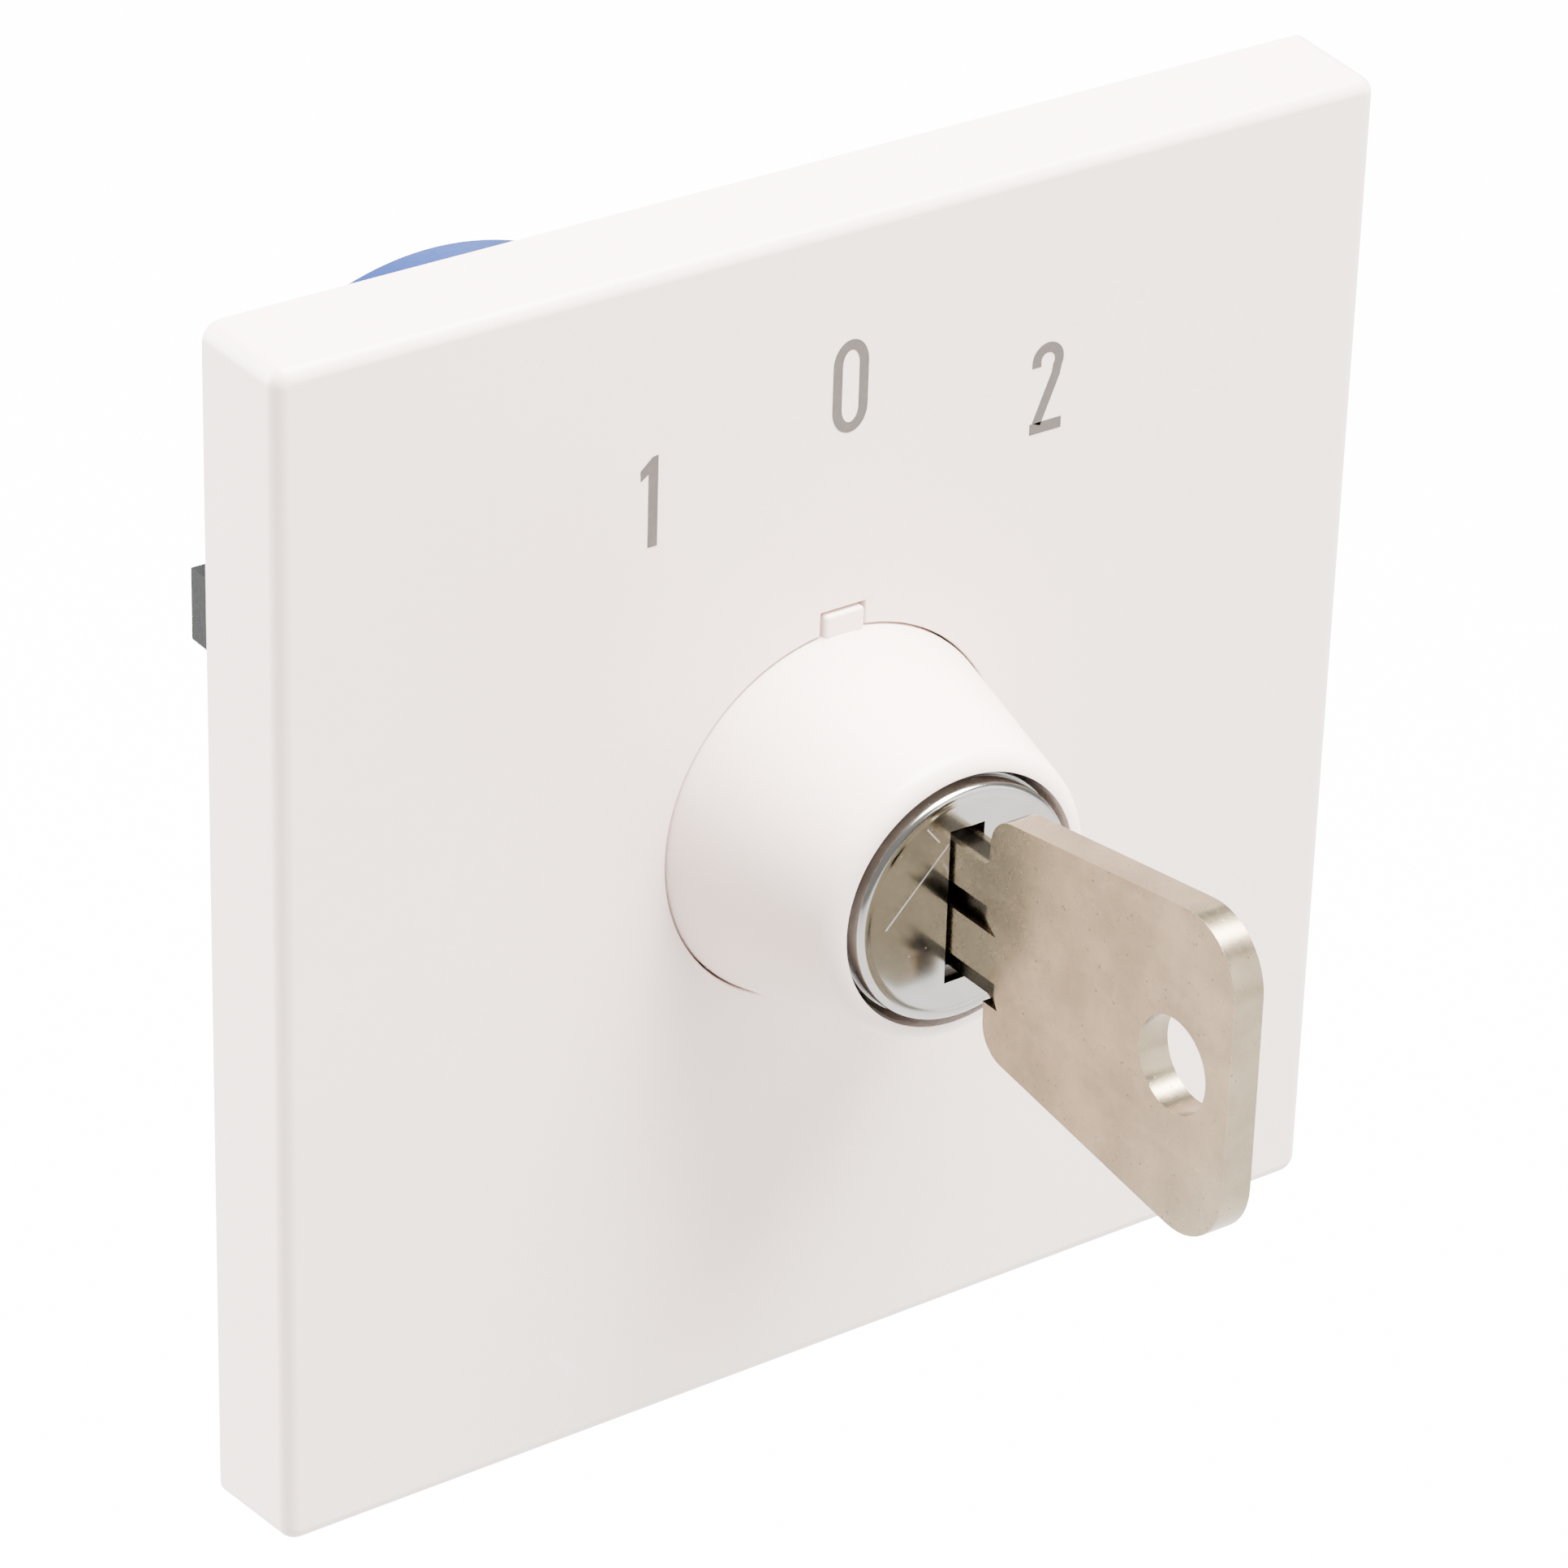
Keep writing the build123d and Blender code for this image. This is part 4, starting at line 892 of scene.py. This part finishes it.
class KEYSWITCH_OT_key(BuildOperator):
    """Build the key: a rounded bow with a ring hole, chamfered edges, milled grooves and cuts in the blade"""

    bl_idname = "keyswitch.key"
    bl_label = "Key"

    CUTS = (0.8, 1.6, 0.4, 1.2, 0.8)
    FIRST_CUT_FROM_FACE = 4.1
    CUT_PITCH = 3.0
    CUT_WIDTH = 1.4
    TIP_SLANT = 1.6 * MM
    LEFT_GROOVE = 0.95 * MM  # from the key's middle line to the middle of each groove
    RIGHT_GROOVE = -1.1 * MM
    GROOVE_TAPER = 3.0 * MM
    STEP_RISE = 0.65 * MM
    STEP_WIDTH = 1.7 * MM
    STEP_TAPER = 1.8 * MM

    def execute(self, context):
        sizes = context.scene.keyswitch_key
        tip, end = KEY_LOW.z, KEY_HIGH.z
        half = KEY_HIGH.x
        shoulder = end - sizes.bow
        blade = sizes.blade / 2
        upper = [
            (tip, 0.0, 0.0),
            (tip + self.TIP_SLANT, blade, 0.0),
        ]
        face_height = CAP_HIGH.z
        for index in reversed(range(len(self.CUTS))):
            middle = face_height - (self.FIRST_CUT_FROM_FACE + self.CUT_PITCH * index) * MM
            low = blade - self.CUTS[index] * MM
            reach = self.CUT_WIDTH * MM / 2
            for height, up in ((-reach, blade), (-reach, low), (reach, low), (reach, blade)):
                upper.append((middle + height, up, 0.0))
        upper += [
            (shoulder, blade, sizes.neck_round),
            (shoulder, sizes.shoulder / 2, sizes.shoulder_round),
            (end, sizes.far_end / 2, sizes.corner),
        ]
        lower = [
            (end, -sizes.far_end / 2, sizes.corner),
            (shoulder, -sizes.shoulder / 2, sizes.shoulder_round),
            (shoulder, -blade, sizes.neck_round),
            (tip + self.TIP_SLANT, -blade, 0.0),
        ]
        outline = rounded_outline(upper + lower, 12)
        bm = slab(outline, -half, half)
        hole_height = end - sizes.hole_from_end
        bm = carve(bm, rod(sizes.hole, -2 * half, 2 * half, 72, (hole_height, 0.0)))
        rims = [
            edge
            for edge in bm.edges
            if abs(edge.verts[0].co.z - edge.verts[1].co.z) < 1e-7
            and min(vert.co.x for vert in edge.verts) > shoulder - 1e-6
            and edge.calc_face_angle(0) > 1.2
        ]
        soften(bm, rims, sizes.chamfer, 3)
        for tool in self.groove_tools(sizes, tip, shoulder, half):
            bm = carve(bm, tool)
        # chamfer faces take the second finish: worn edge with a painted highlight
        for face in bm.faces:
            face.material_index = int(0.1 < abs(face.normal.z) < 0.9)
        # the outline was drawn along the key; stand it in the upright plane through the axis
        stand = TIP_ONTO_WALL @ Matrix(((0, 0, -1, 0), (0, 1, 0, 0), (1, 0, 0, 0), (0, 0, 0, 1)))
        materials = [finish_named("nickel_silver"), finish_named("key_worn_highlit_edge")]
        place_piece("key_blank", bm, "key", materials, ("key",), stand, 28.0)
        return {"FINISHED"}

    def groove_tools(self, sizes, tip, shoulder, half):
        """The cutters of the two milled grooves and of the step along the blade's lower edge."""
        run_end = CAP_HIGH.z + GROOVE_RUNOUT
        tools = []
        step_middle = -sizes.blade / 2 + self.STEP_RISE
        step_end = shoulder + self.STEP_TAPER
        # drawn as (along the key, up the key, face to face); side +1 is the face on the left of the lock
        for side, middle, width, end, taper in (
            (1, self.LEFT_GROOVE, sizes.groove_width, run_end, self.GROOVE_TAPER),
            (-1, self.RIGHT_GROOVE, sizes.groove_width, run_end, self.GROOVE_TAPER),
            (1, step_middle, self.STEP_WIDTH, step_end, self.STEP_TAPER),
        ):
            floor, out = half - sizes.groove, half + 0.2 * MM
            profile = ((tip - 0.5 * MM, floor), (end - taper, floor), (end, out), (tip - 0.5 * MM, out))
            tool = bmesh.new()
            face = tool.faces.new(
                add_points(tool, ((along, middle - width / 2, side * depth) for along, depth in profile))
            )
            made = bmesh.ops.extrude_face_region(tool, geom=[face])
            moved = [item for item in made["geom"] if isinstance(item, bmesh.types.BMVert)]
            bmesh.ops.translate(tool, vec=(0, width, 0), verts=moved)
            bmesh.ops.recalc_face_normals(tool, faces=tool.faces)
            tools.append(tool)
        return tools


class KEYSWITCH_OT_housings(BuildOperator):
    """Round the edges of the housings, the rear cover and the support frame behind the plate"""

    bl_idname = "keyswitch.housings"
    bl_label = "Housings and Frame"

    def execute(self, context):
        for node, slot, radius in (
            ("rear_cover", "cover_blue", 0.35),
            ("latch_housing", "housing_black", 0.2),
            ("front_contact_housing", "housing_black", 0.18),
            ("rear_contact_housing", "housing_black", 0.18),
            ("support_frame", "zinc_steel", 0.12),
        ):
            rounded_copy(node, "switch_base", slot, radius * MM)
        return {"FINISHED"}


class KEYSWITCH_OT_finishes(BuildOperator):
    """Make every finish and give the carried-over pieces theirs"""

    bl_idname = "keyswitch.finishes"
    bl_label = "Finishes"

    def execute(self, context):
        colours = context.scene.keyswitch_colours
        white_plastic(colours)
        digit_ink(colours)
        polished_plate(colours)
        nickel_silver(colours)
        nickel_silver(colours, worn_and_highlit=True)
        finishes = {
            "cover_blue": satin_plastic("cover_blue", tuple(colours.blue), 1800.0, 0.02, 0.34),
            "housing_black": satin_plastic("housing_black", tuple(colours.black), 2600.0, 0.03, 0.45),
            "inner_plastic": satin_plastic("inner_plastic", tuple(colours.natural), 2200.0, 0.015, 0.4),
            "zinc_steel": zinc_plate("zinc_steel", tuple(colours.zinc)),
            "screw_steel": zinc_plate("screw_steel", shade(colours.zinc, 0.95), 0.26),
            "spring_steel": zinc_plate("spring_steel", shade(colours.zinc, 0.75), 0.22),
            "lock_zinc": turned_metal("lock_zinc", tuple(colours.cast), 0.34),
            "brass": turned_metal("brass", tuple(colours.brass), 0.28),
            "silver_contact": turned_metal("silver_contact", tuple(colours.copper), 0.3),
        }
        for entry in frame["record"]["subparts"]:
            material = finishes.get(entry["material_slot"])
            if material:
                dress(material, entry["node"])
        return {"FINISHED"}


class KEYSWITCH_OT_stage(BuildOperator):
    """Set up the pale floor, the soft studio lights and the camera"""

    bl_idname = "keyswitch.stage"
    bl_label = "Stage"

    CAMERA_AT = (-0.21696, -0.29927, 0.20396)
    CAMERA_TOWARDS = (0.51522, 0.70602, -0.48589)
    CAMERA_ROLL = 1.747
    CAMERA_LENS = 156.35
    FLOOR_BELOW = 0.12
    AIR_LIGHT = 0.6
    BACKDROP_LIGHT = 12.0

    def execute(self, context):
        self.camera(context)
        self.floor(context)
        for name, energy, size, place, target in (
            ("top_light", 140.0, 0.8, (0.22, -0.2, 1.0), (0, 0, 0)),
            ("left_light", 75.0, 0.8, (-0.7, 0.8, 0.25), (0, 0, 0)),
            ("front_light", 11.0, 0.9, (0.6, -0.9, 0.2), (0, 0, 0)),
            ("back_light", 10.0, 0.8, (0.35, 0.9, 0.45), (0, 0, 0)),
        ):
            self.light(context, name, energy, size, Vector(place), Vector(target))
        world = bpy.data.worlds.new("studio")
        world.use_nodes = True
        background = world.node_tree.nodes["Background"]
        background.inputs["Color"].default_value = (1.0, 1.0, 1.0, 1.0)
        seen = world.node_tree.nodes.new("ShaderNodeLightPath").outputs["Is Camera Ray"]
        glow = world.node_tree.nodes.new("ShaderNodeMapRange")
        glow.inputs["To Min"].default_value = self.AIR_LIGHT
        glow.inputs["To Max"].default_value = self.BACKDROP_LIGHT
        world.node_tree.links.new(seen, glow.inputs["Value"])
        world.node_tree.links.new(glow.outputs[0], background.inputs["Strength"])
        context.scene.world = world
        return {"FINISHED"}

    def camera(self, context):
        """A long lens, to the left of the switch and above it."""
        data = bpy.data.cameras.new("camera")
        data.lens = self.CAMERA_LENS
        data.sensor_width = 36.0
        camera = bpy.data.objects.new("camera", data)
        look = Vector(self.CAMERA_TOWARDS).to_track_quat("-Z", "Y").to_matrix().to_4x4()
        roll = Matrix.Rotation(radians(self.CAMERA_ROLL), 4, "Z")
        camera.matrix_world = Matrix.Translation(self.CAMERA_AT) @ look @ roll
        context.scene.collection.objects.link(camera)
        context.scene.camera = camera

    def floor(self, context):
        """A pale floor below the switch."""
        low = Vector(cad_box[0]).z
        bm = bmesh.new()
        bmesh.ops.create_grid(bm, x_segments=1, y_segments=1, size=4.0)
        bmesh.ops.translate(bm, vec=(0, 0, low - self.FLOOR_BELOW), verts=bm.verts)
        floor = work_object(bm, "studio_floor")
        finish = Finish("studio_floor")
        tone = tuple(context.scene.keyswitch_colours.floor)
        drift = finish.noise(3.0, 2.0)
        seen = finish.node("ShaderNodeLightPath")
        glow = (1.0, 1.0, 1.0)
        material = finish.set(
            base_color=finish.mix(drift, tone, shade(tone, 1.04)),
            roughness=0.85,
            emission_color=finish.mix(seen, (0.0, 0.0, 0.0), glow),
            emission_strength=self.BACKDROP_LIGHT,
        )
        floor.data.materials.append(material)

    def light(self, context, name, energy, size, place, target):
        """A large soft lamp."""
        data = bpy.data.lights.new(name, "AREA")
        data.energy = energy
        data.size = size
        lamp = bpy.data.objects.new(name, data)
        aim = (target - place).to_track_quat("-Z", "Y").to_matrix().to_4x4()
        lamp.matrix_world = Matrix.Translation(place) @ aim
        context.scene.collection.objects.link(lamp)


class KEYSWITCH_PT_panel(bpy.types.Panel):
    """Lists the pieces of the key switch"""

    bl_idname = "KEYSWITCH_PT_panel"
    bl_label = "Key Switch"
    bl_space_type = "VIEW_3D"
    bl_region_type = "UI"
    bl_category = "Key Switch"

    def draw(self, context):
        for operator in OPERATORS:
            self.layout.operator(operator.bl_idname)
        for name in GROUPS:
            box = self.layout.box()
            group = getattr(context.scene, name)
            for item in group.bl_rna.properties:
                if item.identifier not in ("rna_type", "name"):
                    box.prop(group, item.identifier)


GROUPS = {
    "keyswitch_plate": PlateSizes,
    "keyswitch_collar": CollarSizes,
    "keyswitch_lock": LockSizes,
    "keyswitch_key": KeySizes,
    "keyswitch_colours": SwitchColours,
}
OPERATORS = (
    KEYSWITCH_OT_finishes,
    KEYSWITCH_OT_stage,
    KEYSWITCH_OT_plate,
    KEYSWITCH_OT_digits,
    KEYSWITCH_OT_collar,
    KEYSWITCH_OT_lock_face,
    KEYSWITCH_OT_key,
    KEYSWITCH_OT_housings,
)


def register():
    for group in GROUPS.values():
        bpy.utils.register_class(group)
    for name, group in GROUPS.items():
        setattr(bpy.types.Scene, name, bpy.props.PointerProperty(type=group))
    for item in (*OPERATORS, KEYSWITCH_PT_panel):
        bpy.utils.register_class(item)


def unregister():
    for item in reversed((*OPERATORS, KEYSWITCH_PT_panel)):
        bpy.utils.unregister_class(item)
    for name in GROUPS:
        delattr(bpy.types.Scene, name)
    for group in reversed(GROUPS.values()):
        bpy.utils.unregister_class(group)


def main():
    """Builds the whole switch and its stage."""
    register()
    for operator in OPERATORS:
        family, name = operator.bl_idname.split(".")
        getattr(getattr(bpy.ops, family), name)()


if __name__ == "__main__":
    main()
